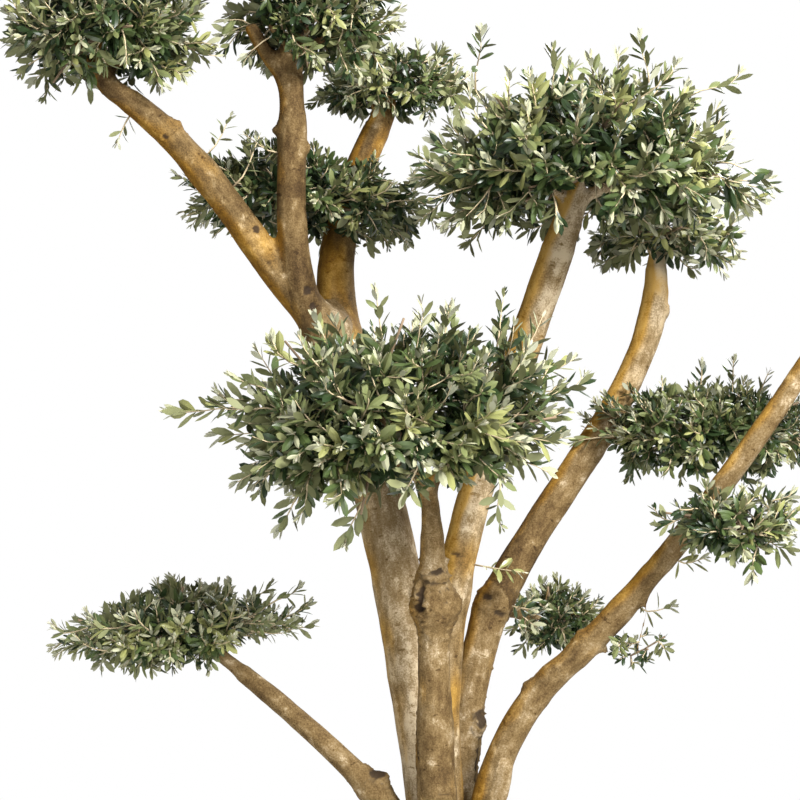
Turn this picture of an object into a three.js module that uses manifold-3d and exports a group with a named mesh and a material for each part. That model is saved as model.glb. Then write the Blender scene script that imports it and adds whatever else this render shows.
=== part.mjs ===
// A cloud-pruned olive tree: a short flared trunk, bare stems and boughs that fan out of its fork,
// and a clipped cloud of leaves at the end of each bough.
// Millimetres, +Z up, the front towards -Y. The origin is the middle of the flat cut at ground level.

import * as THREE from "three";
import { mergeVertices } from "three/addons/utils/BufferGeometryUtils.js";
import Module from "manifold-3d";

const wasm = await Module();
wasm.setup();
const { Manifold } = wasm;
const { lerp, degToRad } = THREE.MathUtils;

// Driving dimensions of the trunk
const TRUNK = {
  height: 650, // from the ground to the top of the fork
  waist: 232, // diameter at half height
  crown: 214, // diameter under the fork
  foot: 410, // diameter of the root flare at the ground
  flareHeight: 95, // height over which the flare fades
  ridges: 5, // muscle-like ridges that run down into the roots
  ridgeDepth: 0.09, // share of the radius
  ridgeTwist: 2, // how far the ridges turn from the ground to the top, in radians
  ridgesAloft: 0.45, // share of their depth that the ridges keep above the flare
  oval: 0.045, // how far the section departs from round, as a share of the radius
  ovalTwist: 3,
  lean: [12, 14], // how far the fork stands to the right of the foot, and behind it
  roundedTop: 0.2, // share of the height that the top rounds off over
  topNarrows: 0.8, // share of its section that the trunk loses in the rounded top
  sides: 25,
  steps: 12,
};

// Each limb runs from foot to tip. It sets out along lead and comes in along arrive, whose lengths
// say how long it keeps to them. thick is its diameter at the foot and at the tip. A knot is an old
// pruning scar that swells the limb by a share of its radius at a place from 0 (foot) to 1 (tip).
const LIMBS = {
  stem_left: {
    foot: [-20, 38, 560], lead: [-45, 26, 380], arrive: [-140, 16, 345], tip: [-262, 150, 1666],
    thick: [108, 100], knots: [{ at: 0.98, swell: 0.1 }],
  },
  stem_front: {
    foot: [-15, -48, 560], lead: [-26, -46, 240], arrive: [-10, -52, 240], tip: [-40, -150, 1278],
    thick: [90, 46], knots: [{ at: 0.755, swell: 0.56 }, { at: 0.42, swell: 0.05 }],
  },
  stem_middle: {
    foot: [12, 5, 560], lead: [-90, 18, 515], arrive: [165, -135, 510], tip: [232, -10, 1850],
    thick: [76, 68], knots: [{ at: 0.42, swell: 0.12 }],
  },
  stem_right_back: {
    foot: [25, 52, 560], lead: [-20, 9, 170], arrive: [60, 30, 170], tip: [95, 105, 1100],
    thick: [74, 70], knots: [{ at: 0.95, swell: 0.22 }],
  },
  stem_right: {
    foot: [58, -28, 560], lead: [0, -8, 200], arrive: [80, -14, 85], tip: [210, -62, 965],
    thick: [68, 56], knots: [{ at: 0.96, swell: 0.14 }],
  },
  bough_upper_left: {
    foot: [-255, 150, 1650], lead: [-156, -28, 157], arrive: [-182, -26, 105], tip: [-684, 60, 2130],
    thick: [74, 52], knots: [{ at: 0.62, swell: 0.13 }],
  },
  bough_upper_middle: {
    foot: [-255, 135, 1630], lead: [-105, -28, 142], arrive: [-15, -3, 180], tip: [-324, 110, 2160],
    thick: [68, 56], knots: [{ at: 0.78, swell: 0.08 }],
  },
  bough_upper_fork: {
    foot: [-326, 108, 2120], lead: [-10, -2, 50], arrive: [-32, -6, 60], tip: [-408, 96, 2268],
    thick: [40, 28], knots: [],
  },
  bough_back: {
    foot: [-218, 165, 1610], lead: [-50, 110, 175], arrive: [76, 67, 165], tip: [-136, 420, 2127],
    thick: [90, 58], knots: [],
  },
  bough_right_back: {
    foot: [92, 103, 1080], lead: [108, 48, 227], arrive: [-4, 40, 240], tip: [441, 235, 1772],
    thick: [70, 54], knots: [{ at: 0.52, swell: 0.07 }, { at: 0.86, swell: 0.08 }],
  },
  bough_right: {
    foot: [194, -60, 950], lead: [215, -38, 180], arrive: [98, -50, 190], tip: [790, -215, 1760],
    thick: [54, 37], knots: [{ at: 0.2, swell: 0.08 }],
  },
  bough_low_left: {
    foot: [-45, -15, 590], lead: [-106, -5, 150], arrive: [-144, 39, 106], tip: [-446, 30, 974],
    thick: [56, 38], knots: [{ at: 0.3, swell: 0.24 }],
  },
  bough_right_side: {
    foot: [318, 176, 1432], lead: [35, 14, 2], arrive: [35, 14, 4], tip: [420, 214, 1436],
    thick: [46, 38], knots: [],
  },
  bough_right_low: {
    foot: [500, -130, 1290], lead: [14, -24, -8], arrive: [16, -24, -8], tip: [526, -196, 1266],
    thick: [30, 24], knots: [],
  },
  bough_low_back: {
    foot: [92, 105, 1070], lead: [34, 44, 0], arrive: [32, 46, -10], tip: [188, 238, 1040],
    thick: [32, 24], knots: [],
  },
  cut_stub: {
    foot: [62, -48, 630], lead: [22, -6, 40], arrive: [4, -2, 42], tip: [108, -66, 786],
    thick: [40, 34], knots: [],
  },
};
const LIMB_SIDES = 10;
const LIMB_STEP = 110; // length of one step along a limb
const LEAST_STEPS = 3;
const KNOT_LENGTH = 38; // how far a knot's swelling reaches to either side of it
const COLLAR = 0.16; // how much wider a limb is where it grows out of its parent
const COLLAR_LENGTH = 80;

// Each cloud of leaves stands on the tip of one bough, or at a share of the way along its side.
// middle is the centre of its widest level, and half is how far the clipped surface lies from it to
// the side, to the front, up and down. twigs counts its main twigs. An open cloud has no core.
const CLOUDS = {
  leaves_upper_left: {
    bough: "bough_upper_left", middle: [-696, 40, 2237], half: [216, 195, 182, 121], twigs: 5,
  },
  leaves_upper_middle: {
    bough: "bough_upper_middle", middle: [-282, 120, 2282], half: [176, 172, 206, 134], twigs: 5,
  },
  leaves_back_low: {
    bough: "bough_back", side: 0.5, middle: [-306, 320, 1934], half: [250, 200, 118, 109], twigs: 5,
  },
  leaves_back_high: {
    bough: "bough_back", middle: [-113, 415, 2182], half: [160, 150, 103, 75], twigs: 4,
  },
  leaves_front: {
    bough: "stem_front", middle: [-112, -260, 1440], half: [347, 262, 244, 178], twigs: 9,
  },
  leaves_upper_right: {
    bough: "stem_middle", middle: [260, -60, 1943], half: [320, 265, 217, 138], twigs: 8,
  },
  leaves_right_back: {
    bough: "bough_right_back", middle: [458, 262, 1850], half: [165, 150, 85, 91], twigs: 4,
  },
  leaves_right: {
    bough: "bough_right_side", middle: [532, 150, 1434], half: [258, 195, 118, 112], twigs: 5,
  },
  leaves_far_right: {
    bough: "bough_right", middle: [905, -238, 1830], half: [188, 182, 150, 105], twigs: 5,
  },
  leaves_right_low: {
    bough: "bough_right_low", middle: [526, -226, 1258], half: [138, 110, 84, 86], twigs: 3,
  },
  leaves_low_back: {
    bough: "bough_low_back", middle: [240, 300, 1029], half: [96, 98, 86, 86], twigs: 3,
  },
  leaves_low_left: {
    bough: "bough_low_left", middle: [-556, 50, 1024], half: [226, 200, 115, 95], twigs: 5,
  },
  sprout_right: {
    bough: "bough_right", side: 0.3, middle: [362, -96, 1006], half: [72, 62, 62, 72], twigs: 2, open: true,
  },
};
const CORE = 0.72; // size of the dense inside of a cloud beside its clipped surface
const CORE_DETAIL = 2;
const LUMP = 0.07; // how far the core's surface swells and dips, as a share of its size
const LUMP_WAVES = [4, 4, 5]; // how closely the lumps follow each other along X, Y and Z
const REACH = 1.28; // the leaves of long sprigs end this far out beside the clipped surface
const CLIPPED = [0.94, 1.06]; // the leaves at the tips of all other twigs end between these
const SPRIG_END = 0.95; // where a long sprig's twig ends
const TWIG_END = 0.64; // where any other twig ends, just inside the core
const SPRIG_EVERY = 4; // every fourth twig is a long sprig
const FOOT_CONE = -0.8; // no main twig grows closer to straight down than this cosine
const JITTER = 0.22; // how far a main twig strays from its even place
const FORKS = 2; // side twigs that a main twig forks into
const FORK_AT = 0.3; // share of the way from the middle to the clipped surface
const FORK_SPREAD = degToRad(24); // between a side twig and the main twig's direction

const STEM = {
  sides: 6,
  bend: 0.35, // share of the way to the cloud's middle that it keeps its bough's direction
  tipShare: 0.8, // thickness beside the tip of its bough
  sideThick: 15, // thickness where it grows from a bough's side
};
const TWIG = { foot: 13, tip: 8, sides: 3 }; // diameters
const LEAF = {
  share: 0.5, // length beside the mean half size of its cloud, so that few leaves dress each cloud
  least: 36,
  slim: 0.36, // width beside length
  thick: 7,
  sunk: 0.14, // share of the length that is inside the twig
  spread: degToRad(52), // between a paired leaf and its twig
  paired: 0.86, // length of a paired leaf beside the leaf at the tip
  below: 0.1, // how far the pair stands below the twig's tip, in leaf lengths
};
const CLEAR = 5; // space that twigs and leaves keep from a limb
const APART = 0.05; // how much nearer, in outness, a cloud's leaves are to it than to other clouds
const WOOD_STEP = 20; // between the places along a limb where that space is measured
const TWIG_TESTS = [0.5, 0.75, 1]; // places along a side twig where it is measured

const GAP = 0.3; // clear space between two pieces that meet
const MERGE = 1e-3; // corners closer than this are one
const UPRIGHT = 0.9; // a direction whose rise is above this counts as upright
const SEED = 11;
const GOLDEN_ANGLE = Math.PI * (3 - Math.sqrt(5));
const BARK = new THREE.MeshStandardMaterial({ color: 0x8a7558, roughness: 0.85, metalness: 0 });
const FOLIAGE = new THREE.MeshStandardMaterial({ color: 0x56634a, roughness: 0.55, metalness: 0 });

const point = (numbers) => new THREE.Vector3(...numbers);
const cornerOf = (places, i) => new THREE.Vector3().fromBufferAttribute(places, i);

// Repeatable random numbers from 0 to 1
function randomFrom(seed) {
  let state = seed | 0;
  return () => {
    state = (state + 0x6d2b79f5) | 0;
    let mixed = Math.imul(state ^ (state >>> 15), state | 1);
    mixed = (mixed + Math.imul(mixed ^ (mixed >>> 7), mixed | 61)) ^ mixed;
    return ((mixed ^ (mixed >>> 14)) >>> 0) / 2 ** 32;
  };
}

// A three.js geometry as a solid that can be joined and cut
function solidOf(geometry) {
  const bare = new THREE.BufferGeometry().setIndex(geometry.index);
  bare.setAttribute("position", geometry.getAttribute("position"));
  const merged = mergeVertices(bare, MERGE);
  const vertProperties = merged.getAttribute("position").array;
  const triVerts = new Uint32Array(merged.index.array);
  return new Manifold(new wasm.Mesh({ numProp: 3, vertProperties, triVerts }));
}

// The largest body of a solid: scraps are dropped and hollows that joining has sealed are filled
function mainBody(solid) {
  return solid.decompose().reduce((best, body) => (body.volume() > best.volume() ? body : best));
}

function meshOf(name, solid, material) {
  const { vertProperties, triVerts } = mainBody(solid).getMesh();
  const geometry = new THREE.BufferGeometry();
  geometry.setAttribute("position", new THREE.BufferAttribute(vertProperties, 3));
  geometry.setIndex(new THREE.BufferAttribute(triVerts, 1));
  geometry.computeVertexNormals();
  const mesh = new THREE.Mesh(geometry, material);
  mesh.name = name;
  return mesh;
}

// Moves each corner of a unit cylinder along +Y to where place(share of the height, angle, rim) puts
// it. rim is 1 on the wall and 0 in the middle of an end.
function bentCylinder(sides, steps, place) {
  const geometry = new THREE.CylinderGeometry(1, 1, 1, sides, steps);
  const corners = geometry.getAttribute("position");
  for (let i = 0; i < corners.count; i++) {
    const rim = Math.round(Math.hypot(corners.getX(i), corners.getZ(i)));
    const side = Math.round((Math.atan2(corners.getX(i), corners.getZ(i)) / (2 * Math.PI)) * sides);
    const angle = (((side + sides) % sides) * 2 * Math.PI) / sides;
    const { x, y, z } = place(corners.getY(i) + 0.5, angle, rim);
    corners.setXYZ(i, x, y, z);
  }
  return geometry;
}

// The trunk's radius at a share of its height and an angle round it
function trunkRadius(share, angle) {
  const flare = Math.exp((-share * TRUNK.height) / TRUNK.flareHeight);
  const straight = lerp(2 * TRUNK.waist - TRUNK.crown, TRUNK.crown, share) / 2;
  const wide = lerp(straight, TRUNK.foot / 2, flare);
  const ridge = TRUNK.ridgeDepth * Math.cos(TRUNK.ridges * angle + TRUNK.ridgeTwist * share);
  const oval = TRUNK.oval * Math.cos(2 * angle + TRUNK.ovalTwist * share);
  const over = Math.max(0, (share - 1) / TRUNK.roundedTop + 1);
  const rounded = Math.sqrt(1 - TRUNK.topNarrows * over ** 2);
  return wide * rounded * (1 + (ridge + oval) * (TRUNK.ridgesAloft + flare));
}

function trunkSolid(grown = 0) {
  const geometry = bentCylinder(TRUNK.sides, TRUNK.steps, (share, angle, rim) => {
    const radius = rim * (trunkRadius(share, angle) + grown);
    const sway = share * share;
    return {
      x: TRUNK.lean[0] * sway + radius * Math.cos(angle),
      y: TRUNK.lean[1] * sway + radius * Math.sin(angle),
      z: share * TRUNK.height + (share === 1 ? grown : 0),
    };
  });
  return solidOf(geometry);
}

// A smooth hump, 1 in the middle, that fades over a length
const hump = (distance, length) => Math.exp(-((distance / length) ** 2));

// A limb's centre line, and its radius at a share of its length
function limbOf({ foot, lead, arrive, tip, thick, knots }) {
  const ends = [point(foot), point(tip)];
  const handles = [point(foot).add(point(lead)), point(tip).sub(point(arrive))];
  const curve = new THREE.CubicBezierCurve3(ends[0], handles[0], handles[1], ends[1]);
  const length = curve.getLength();
  const radius = (share) => {
    const collar = COLLAR * Math.exp((-share * length) / COLLAR_LENGTH);
    const swells = knots.map(({ at, swell }) => swell * hump((share - at) * length, KNOT_LENGTH));
    return (lerp(thick[0], thick[1], share) / 2) * swells.reduce((sum, swell) => sum + swell, 1 + collar);
  };
  return { curve, length, radius };
}

// The solid of a limb, grown by a margin on its wall and at its tip
function limbSolid({ curve, length, radius }, sides, grown = 0) {
  const steps = Math.max(LEAST_STEPS, Math.round(length / LIMB_STEP));
  const centres = curve.getSpacedPoints(steps);
  const { tangents, normals, binormals } = curve.computeFrenetFrames(steps);
  const geometry = bentCylinder(sides, steps, (share, angle, rim) => {
    const i = Math.round(share * steps);
    const wide = rim * (radius(share) + grown);
    return centres[i]
      .clone()
      .addScaledVector(tangents[i], share === 1 ? grown : 0)
      .addScaledVector(normals[i], wide * Math.cos(angle))
      .addScaledVector(binormals[i], wide * Math.sin(angle));
  });
  return solidOf(geometry);
}

// Limbs are made in order, each cut back clear of the trunk and of the limbs before it
const limbs = Object.fromEntries(Object.entries(LIMBS).map(([name, sizes]) => [name, limbOf(sizes)]));
const wood = new THREE.Group();
wood.add(meshOf("trunk", trunkSolid(), BARK));
let taken = trunkSolid(GAP);
for (const [name, limb] of Object.entries(limbs)) {
  wood.add(meshOf(name, limbSolid(limb, LIMB_SIDES).subtract(taken), BARK));
  taken = taken.add(limbSolid(limb, LIMB_SIDES, GAP));
}

// Points along every limb, with the radius there, for keeping leaves clear of the wood
const woodSpots = Object.values(limbs).flatMap(({ curve, length, radius }) => {
  const count = Math.ceil(length / WOOD_STEP);
  return curve.getSpacedPoints(count).map((spot, i) => ({ spot, radius: radius(i / count) }));
});

// How far out a place is in a cloud: 0 in the middle and 1 on the clipped surface
function outness({ middle, half }, place) {
  const { x, y, z } = place.clone().sub(point(middle));
  return Math.hypot(x / half[0], y / half[1], z / (z > 0 ? half[2] : half[3]));
}

// The place at an outness in a cloud, in a direction that is given as if the cloud were a round ball
function placeIn({ middle, half }, way, out) {
  const stretch = point([half[0], half[1], way.z > 0 ? half[2] : half[3]]);
  return point(middle).addScaledVector(way.clone().multiply(stretch), out);
}

// True where a cloud's twigs and leaves may be: within its reach, nearer to it than to any other
// cloud, above the ground and clear of the wood
function isFree(cloud, place) {
  const own = outness(cloud, place);
  const others = Object.values(CLOUDS).filter((other) => other !== cloud);
  return (
    own <= REACH &&
    place.z > 0 &&
    others.every((other) => outness(other, place) > own + APART) &&
    woodSpots.every(({ spot, radius }) => spot.distanceTo(place) > radius + CLEAR)
  );
}

// Puts a geometry that lies along +Z from the origin at a place, along a direction, with +Y facing up
function along(geometry, place, way, face) {
  const across = new THREE.Vector3().crossVectors(face, way).normalize();
  const up = new THREE.Vector3().crossVectors(way, across);
  return geometry.applyMatrix4(new THREE.Matrix4().makeBasis(across, up, way).setPosition(place));
}

// A direction square to another one, turned round it by a roll
function squareTo(way, roll) {
  const guide = Math.abs(way.z) < UPRIGHT ? point([0, 0, 1]) : point([0, 1, 0]);
  return guide.cross(way).normalize().applyAxisAngle(way, roll);
}

// A straight tapering twig
function twigSolid(from, to) {
  const way = to.clone().sub(from);
  const length = way.length();
  const twig = new THREE.CylinderGeometry(TWIG.tip / 2, TWIG.foot / 2, length, TWIG.sides);
  twig.rotateX(Math.PI / 2).translate(0, 0, length / 2);
  way.normalize();
  return solidOf(along(twig, from, way, squareTo(way, 0)));
}

// A leaf with a pointed base and tip, widest and thickest in the middle, as { solid, corners }
function leafOf(root, way, face, length) {
  const leaf = new THREE.OctahedronGeometry(1);
  leaf.scale((length * LEAF.slim) / 2, LEAF.thick / 2, length / 2);
  leaf.translate(0, 0, length * (0.5 - LEAF.sunk));
  along(leaf, root, way, face);
  const places = leaf.getAttribute("position");
  const corners = Array.from({ length: places.count }, (_, i) => cornerOf(places, i));
  return { solid: solidOf(leaf), corners };
}

// The leaves of one twig: one at its tip and an opposite pair just below it
function leavesOf({ tip, way, roll, tipLeaf }, length) {
  const side = squareTo(way, roll);
  const root = tip.clone().addScaledVector(way, -LEAF.below * length);
  const pair = [-1, 1].map((hand) => {
    const out = way.clone().applyAxisAngle(side, hand * LEAF.spread);
    return leafOf(root, out, way, length * LEAF.paired);
  });
  return [leafOf(tip, way, side.clone().cross(way), tipLeaf), ...pair];
}

// The length of a cloud's leaves: larger than life on the larger clouds, where each stands for a spray
function leafLength({ half }) {
  const mean = half.reduce((sum, size) => sum + size) / half.length;
  return Math.max(LEAF.least, LEAF.share * mean);
}

// The dense inside of a cloud: a round body with soft lumps
function coreSolid(cloud, random) {
  const core = new THREE.IcosahedronGeometry(1, CORE_DETAIL);
  const shifts = LUMP_WAVES.map(() => random() * 2 * Math.PI);
  const corners = core.getAttribute("position");
  for (let i = 0; i < corners.count; i++) {
    const way = cornerOf(corners, i).normalize();
    const waves = way.toArray().map((part, axis) => Math.sin(LUMP_WAVES[axis] * part + shifts[axis]));
    const lump = LUMP * waves.reduce((sum, wave) => sum + wave);
    corners.setXYZ(i, ...placeIn(cloud, way, CORE * (1 + lump)).toArray());
  }
  return solidOf(core);
}

// The stem of a cloud, which goes on from its bough's tip or grows out of its side, and ends in the
// cloud's middle
function stemOf({ bough, side, middle }) {
  const { curve: parent, radius: parentRadius } = limbs[bough];
  const hub = point(middle);
  const foot = parent.getPointAt(side ?? 1);
  const heading = side === undefined ? parent.getTangentAt(1) : hub.clone().sub(foot).normalize();
  const bend = foot.clone().addScaledVector(heading, STEM.bend * foot.distanceTo(hub));
  const curve = new THREE.QuadraticBezierCurve3(foot, bend, hub);
  const thick = side === undefined ? 2 * parentRadius(1) * STEM.tipShare : STEM.sideThick;
  return { curve, length: curve.getLength(), radius: (share) => lerp(thick, TWIG.foot, share) / 2 };
}

// The twigs of a cloud. Main twigs fan out of its middle, evenly on all sides, and each forks into
// side twigs that lead to the clipped surface, or past it where one is a long sprig.
function twigsOf(cloud, index, random) {
  const twigs = [];
  for (let i = 0; i < cloud.twigs; i++) {
    const rise = lerp(1, FOOT_CONE, (i + 0.5) / cloud.twigs) + JITTER * (random() - 0.5);
    const turn = i * GOLDEN_ANGLE + index + 2 * JITTER * (random() - 0.5);
    const flat = Math.sqrt(Math.max(0, 1 - rise * rise));
    const main = point([flat * Math.cos(turn), flat * Math.sin(turn), rise]).normalize();
    const fork = placeIn(cloud, main, FORK_AT);
    const axis = squareTo(main, random() * Math.PI);
    for (let j = 0; j < FORKS; j++) {
      const out = main.clone().applyAxisAngle(axis, lerp(-FORK_SPREAD, FORK_SPREAD, j / (FORKS - 1)));
      const sprig = twigs.length % SPRIG_EVERY === 1;
      const tip = placeIn(cloud, out, sprig ? SPRIG_END : TWIG_END);
      const room = tip.distanceTo(placeIn(cloud, out, sprig ? REACH : lerp(...CLIPPED, random())));
      const tipLeaf = Math.min(leafLength(cloud), room / (1 - LEAF.sunk));
      twigs.push({ fork, tip, way: tip.clone().sub(fork).normalize(), roll: random() * Math.PI, tipLeaf });
    }
  }
  return twigs;
}

// One cloud: its stem, its twigs with their leaves, and the dense core that they stand out of
function cloudSolid(cloud, index) {
  const random = randomFrom(SEED + index);
  const hub = point(cloud.middle);
  const pieces = [limbSolid(stemOf(cloud), STEM.sides)];
  if (!cloud.open) pieces.push(coreSolid(cloud, random));
  const twigs = twigsOf(cloud, index, random).filter(({ fork, tip }) =>
    TWIG_TESTS.every((share) => isFree(cloud, fork.clone().lerp(tip, share))),
  );
  const leaves = twigs
    .flatMap((twig) => leavesOf(twig, leafLength(cloud)))
    .filter(({ corners }) => corners.every((corner) => isFree(cloud, corner)));
  for (const fork of new Set(twigs.map((twig) => twig.fork))) pieces.push(twigSolid(hub, fork));
  for (const { fork, tip } of twigs) pieces.push(twigSolid(fork, tip));
  for (const { solid } of leaves) pieces.push(solid);
  return Manifold.union(pieces).subtract(taken);
}

const foliage = new THREE.Group();
Object.entries(CLOUDS).forEach(([name, cloud], index) => {
  foliage.add(meshOf(name, cloudSolid(cloud, index), FOLIAGE));
});

const tree = new THREE.Group();
tree.name = "olive_tree";
tree.add(wood, foliage);

export default tree;
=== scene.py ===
# A cloud-pruned olive tree: bare stems and boughs in mottled bark, with clipped clouds of small leaves.
import math
from collections import namedtuple

import bpy
import numpy as np
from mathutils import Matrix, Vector, noise


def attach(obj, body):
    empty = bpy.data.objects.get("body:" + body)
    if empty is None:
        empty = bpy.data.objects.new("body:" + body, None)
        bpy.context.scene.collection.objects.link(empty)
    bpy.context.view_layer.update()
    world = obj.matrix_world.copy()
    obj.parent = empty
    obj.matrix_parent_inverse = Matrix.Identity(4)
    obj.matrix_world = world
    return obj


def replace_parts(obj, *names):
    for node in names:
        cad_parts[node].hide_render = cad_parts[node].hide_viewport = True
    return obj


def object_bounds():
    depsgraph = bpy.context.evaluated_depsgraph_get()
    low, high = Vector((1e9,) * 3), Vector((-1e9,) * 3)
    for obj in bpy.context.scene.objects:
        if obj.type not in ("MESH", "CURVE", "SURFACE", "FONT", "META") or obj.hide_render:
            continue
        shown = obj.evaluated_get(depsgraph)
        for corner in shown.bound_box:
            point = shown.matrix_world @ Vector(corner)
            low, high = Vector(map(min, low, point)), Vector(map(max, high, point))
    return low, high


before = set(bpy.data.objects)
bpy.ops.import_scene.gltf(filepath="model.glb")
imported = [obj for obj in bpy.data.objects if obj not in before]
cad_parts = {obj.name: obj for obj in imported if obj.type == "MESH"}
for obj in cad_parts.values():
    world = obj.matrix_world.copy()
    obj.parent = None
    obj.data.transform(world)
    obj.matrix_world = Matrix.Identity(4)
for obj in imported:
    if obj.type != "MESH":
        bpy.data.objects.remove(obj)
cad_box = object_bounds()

MM = 0.001  # the plant's sizes below are in millimetres, as in the part's source, and the scene is in metres
SEED = 11
GOLDEN_ANGLE = math.pi * (3 - math.sqrt(5))
UP = np.array([0.0, 0.0, 1.0])
VIEWER = np.array([0.0, -1.0, 0.0])  # from the tree towards the photograph's viewpoint

TRUNK = {
    "height": 650, "waist": 232, "crown": 214, "foot": 410, "flare_height": 95,
    "ridges": 5, "ridge_depth": 0.09, "ridge_twist": 2, "ridges_aloft": 0.45,
    "oval": 0.045, "oval_twist": 3, "lean": (12, 14), "rounded_top": 0.2, "top_narrows": 0.8,
}
TRUNK_OCHRE = (0.3, 0.3)
TRUNK_TONE = (0, 0)

# A limb is a curve from its foot to its tip, with the handles that it leads off and arrives by. Its
# thickness is its diameter at both ends. Knots are by the share along the limb, and swell it by a share of
# its radius. Ochre is how much lichen stains it, at foot and tip. Tone is how much paler its bark is there,
# partly its own tone and partly painted light and shade: limbs in the shade of clouds, such as stem_left and
# the tip of stem_middle, are painted paler, and stem_front and the upper boughs darker, as if in less light.
Limb = namedtuple("Limb", "foot lead arrive tip thick knots ochre tone")
LIMBS = {
    "stem_left": Limb(
        (-20, 38, 560), (-45, 26, 380), (-140, 16, 345), (-262, 150, 1666),
        (108, 100), {0.98: 0.1}, (0.3, 0.3), (0.36, 0.06)),
    "stem_front": Limb(
        (-15, -48, 560), (-26, -46, 240), (-10, -52, 240), (-40, -150, 1278),
        (90, 46), {0.755: 0.56, 0.42: 0.05}, (0.3, 0.3), (-0.1, -0.06)),
    "stem_middle": Limb(
        (12, 5, 560), (-90, 18, 515), (165, -135, 510), (232, -10, 1850),
        (76, 68), {0.42: 0.12}, (1.05, 0.7), (0.06, 0.36)),
    "stem_right_back": Limb(
        (25, 52, 560), (-20, 9, 170), (60, 30, 170), (95, 105, 1100),
        (74, 70), {0.95: 0.22}, (0.35, 0.55), (0.2, 0.02)),
    "stem_right": Limb(
        (58, -28, 560), (0, -8, 200), (80, -14, 85), (210, -62, 965),
        (68, 56), {0.96: 0.14}, (0.45, 0.45), (0, 0)),
    "bough_upper_left": Limb(
        (-255, 150, 1650), (-156, -28, 157), (-182, -26, 105), (-684, 60, 2130),
        (74, 52), {0.62: 0.13}, (0.85, 0.65), (0, -0.16)),
    "bough_upper_middle": Limb(
        (-255, 135, 1630), (-105, -28, 142), (-15, -3, 180), (-324, 110, 2160),
        (68, 56), {0.78: 0.08}, (0.35, 0.25), (-0.14, -0.18)),
    "bough_upper_fork": Limb(
        (-326, 108, 2120), (-10, -2, 50), (-32, -6, 60), (-408, 96, 2268),
        (40, 28), {}, (0.4, 0.4), (-0.16, -0.16)),
    "bough_back": Limb(
        (-218, 165, 1610), (-50, 110, 175), (76, 67, 165), (-136, 420, 2127),
        (90, 58), {}, (1.0, 1.0), (0.06, -0.1)),
    "bough_right_back": Limb(
        (92, 103, 1080), (108, 48, 227), (-4, 40, 240), (441, 235, 1772),
        (70, 54), {0.52: 0.07, 0.86: 0.08}, (0.3, 1.0), (-0.34, 0.45)),
    "bough_right": Limb(
        (194, -60, 950), (215, -38, 180), (98, -50, 190), (790, -215, 1760),
        (54, 37), {0.2: 0.08}, (0.55, 0.45), (0.04, 0.06)),
    "bough_low_left": Limb(
        (-45, -15, 590), (-106, -5, 150), (-144, 39, 106), (-446, 30, 974),
        (56, 38), {0.3: 0.24}, (0.15, 0.15), (-0.06, -0.06)),
    "bough_right_side": Limb(
        (318, 176, 1432), (35, 14, 2), (35, 14, 4), (420, 214, 1436),
        (46, 38), {}, (0.5, 0.5), (0, 0)),
    "bough_right_low": Limb(
        (500, -130, 1290), (14, -24, -8), (16, -24, -8), (526, -196, 1266),
        (30, 24), {}, (0.3, 0.3), (0, 0)),
    "bough_low_back": Limb(
        (92, 105, 1070), (34, 44, 0), (32, 46, -10), (188, 238, 1040),
        (32, 24), {}, (0.3, 0.3), (0, 0)),
    "cut_stub": Limb(
        (62, -48, 630), (22, -6, 40), (4, -2, 42), (108, -66, 786),
        (40, 34), {}, (0.2, 0.2), (0.1, 0.1)),
}
KNOT_LENGTH = 38
COLLAR = 0.16  # how much wider a limb is where it grows out of its parent
COLLAR_LENGTH = 80

# A mark in a limb's bark: the share along it, the degrees round it from the viewer towards the right,
# its reach along and round the limb, how far it stands out or is sunk in, and how dark it is. That darkness
# is partly the scar's own colour and partly painted shade, in the pit of a sunk mark and round the foot of a
# raised one.
Mark = namedtuple("Mark", "share turn along around height dark")
MARKS = {
    "stem_front": [
        Mark(0.79, -36, 30, 6, -7, 1.0), Mark(0.75, -40, 11, 13, -9, 1.0), Mark(0.86, 22, 6, 15, -4, 1.0),
        Mark(0.83, 38, 8, 20, 6, 0.7), Mark(0.76, 82, 34, 26, 13, 0.1), Mark(0.82, -60, 26, 20, 7, 0),
        Mark(0.7, 30, 30, 24, 6, 0), Mark(0.49, 18, 8, 30, 3, 0.35), Mark(0.36, -75, 34, 8, -4, 1.0),
        Mark(0.24, 30, 5, 16, -2, 0.6),
    ],
    "stem_middle": [Mark(0.469, -15, 6, 14, -4, 0.8)],
    "stem_right_back": [
        Mark(0.985, 25, 26, 24, 10, 0.5), Mark(0.975, -25, 9, 13, -4, 0.9), Mark(0.94, 30, 6, 18, -4, 0.9),
        Mark(0.53, 55, 20, 16, 12, 0.6), Mark(0.55, 50, 16, 12, -3, 1.0), Mark(0.36, 70, 55, 11, -6, 1.0),
    ],
    "stem_right": [Mark(0.86, -85, 14, 16, 9, 0.3)],
    "bough_right": [Mark(0.1, -80, 12, 14, 7, 0.3), Mark(0.12, 95, 7, 7, 14, 0.2)],
    "bough_low_left": [Mark(0.32, 85, 20, 18, 14, 0.5), Mark(0.33, 70, 15, 14, -3, 1.0)],
    "bough_upper_left": [
        Mark(0.79, 95, 12, 12, 9, 0.3), Mark(0.78, -20, 8, 8, -3, 0.8), Mark(0.374, 36, 9, 8, -3, 0.9),
        Mark(0.27, 0, 8, 8, -2, 0.6),
    ],
    "bough_upper_middle": [
        Mark(0.2, 24, 12, 11, -5, 1.0), Mark(0.14, 20, 10, 9, -4, 1.0), Mark(0.8, -90, 10, 10, 12, 0.3),
        Mark(0.75, 90, 10, 10, 9, 0.3), Mark(0.54, 19, 8, 12, -2, 0.5),
    ],
    "bough_right_back": [Mark(0.9, 85, 12, 12, 7, 0.3)],
}
MARK_THICK = 2.5  # how deep a mark is beside its larger reach
RIM_AT = 1.35  # where a mark's rim is, beside its reach
RIM_SPREAD = 0.1
RIM_HEIGHT = 0.6  # how high the rim of a sunk mark is, beside its depth

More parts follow.
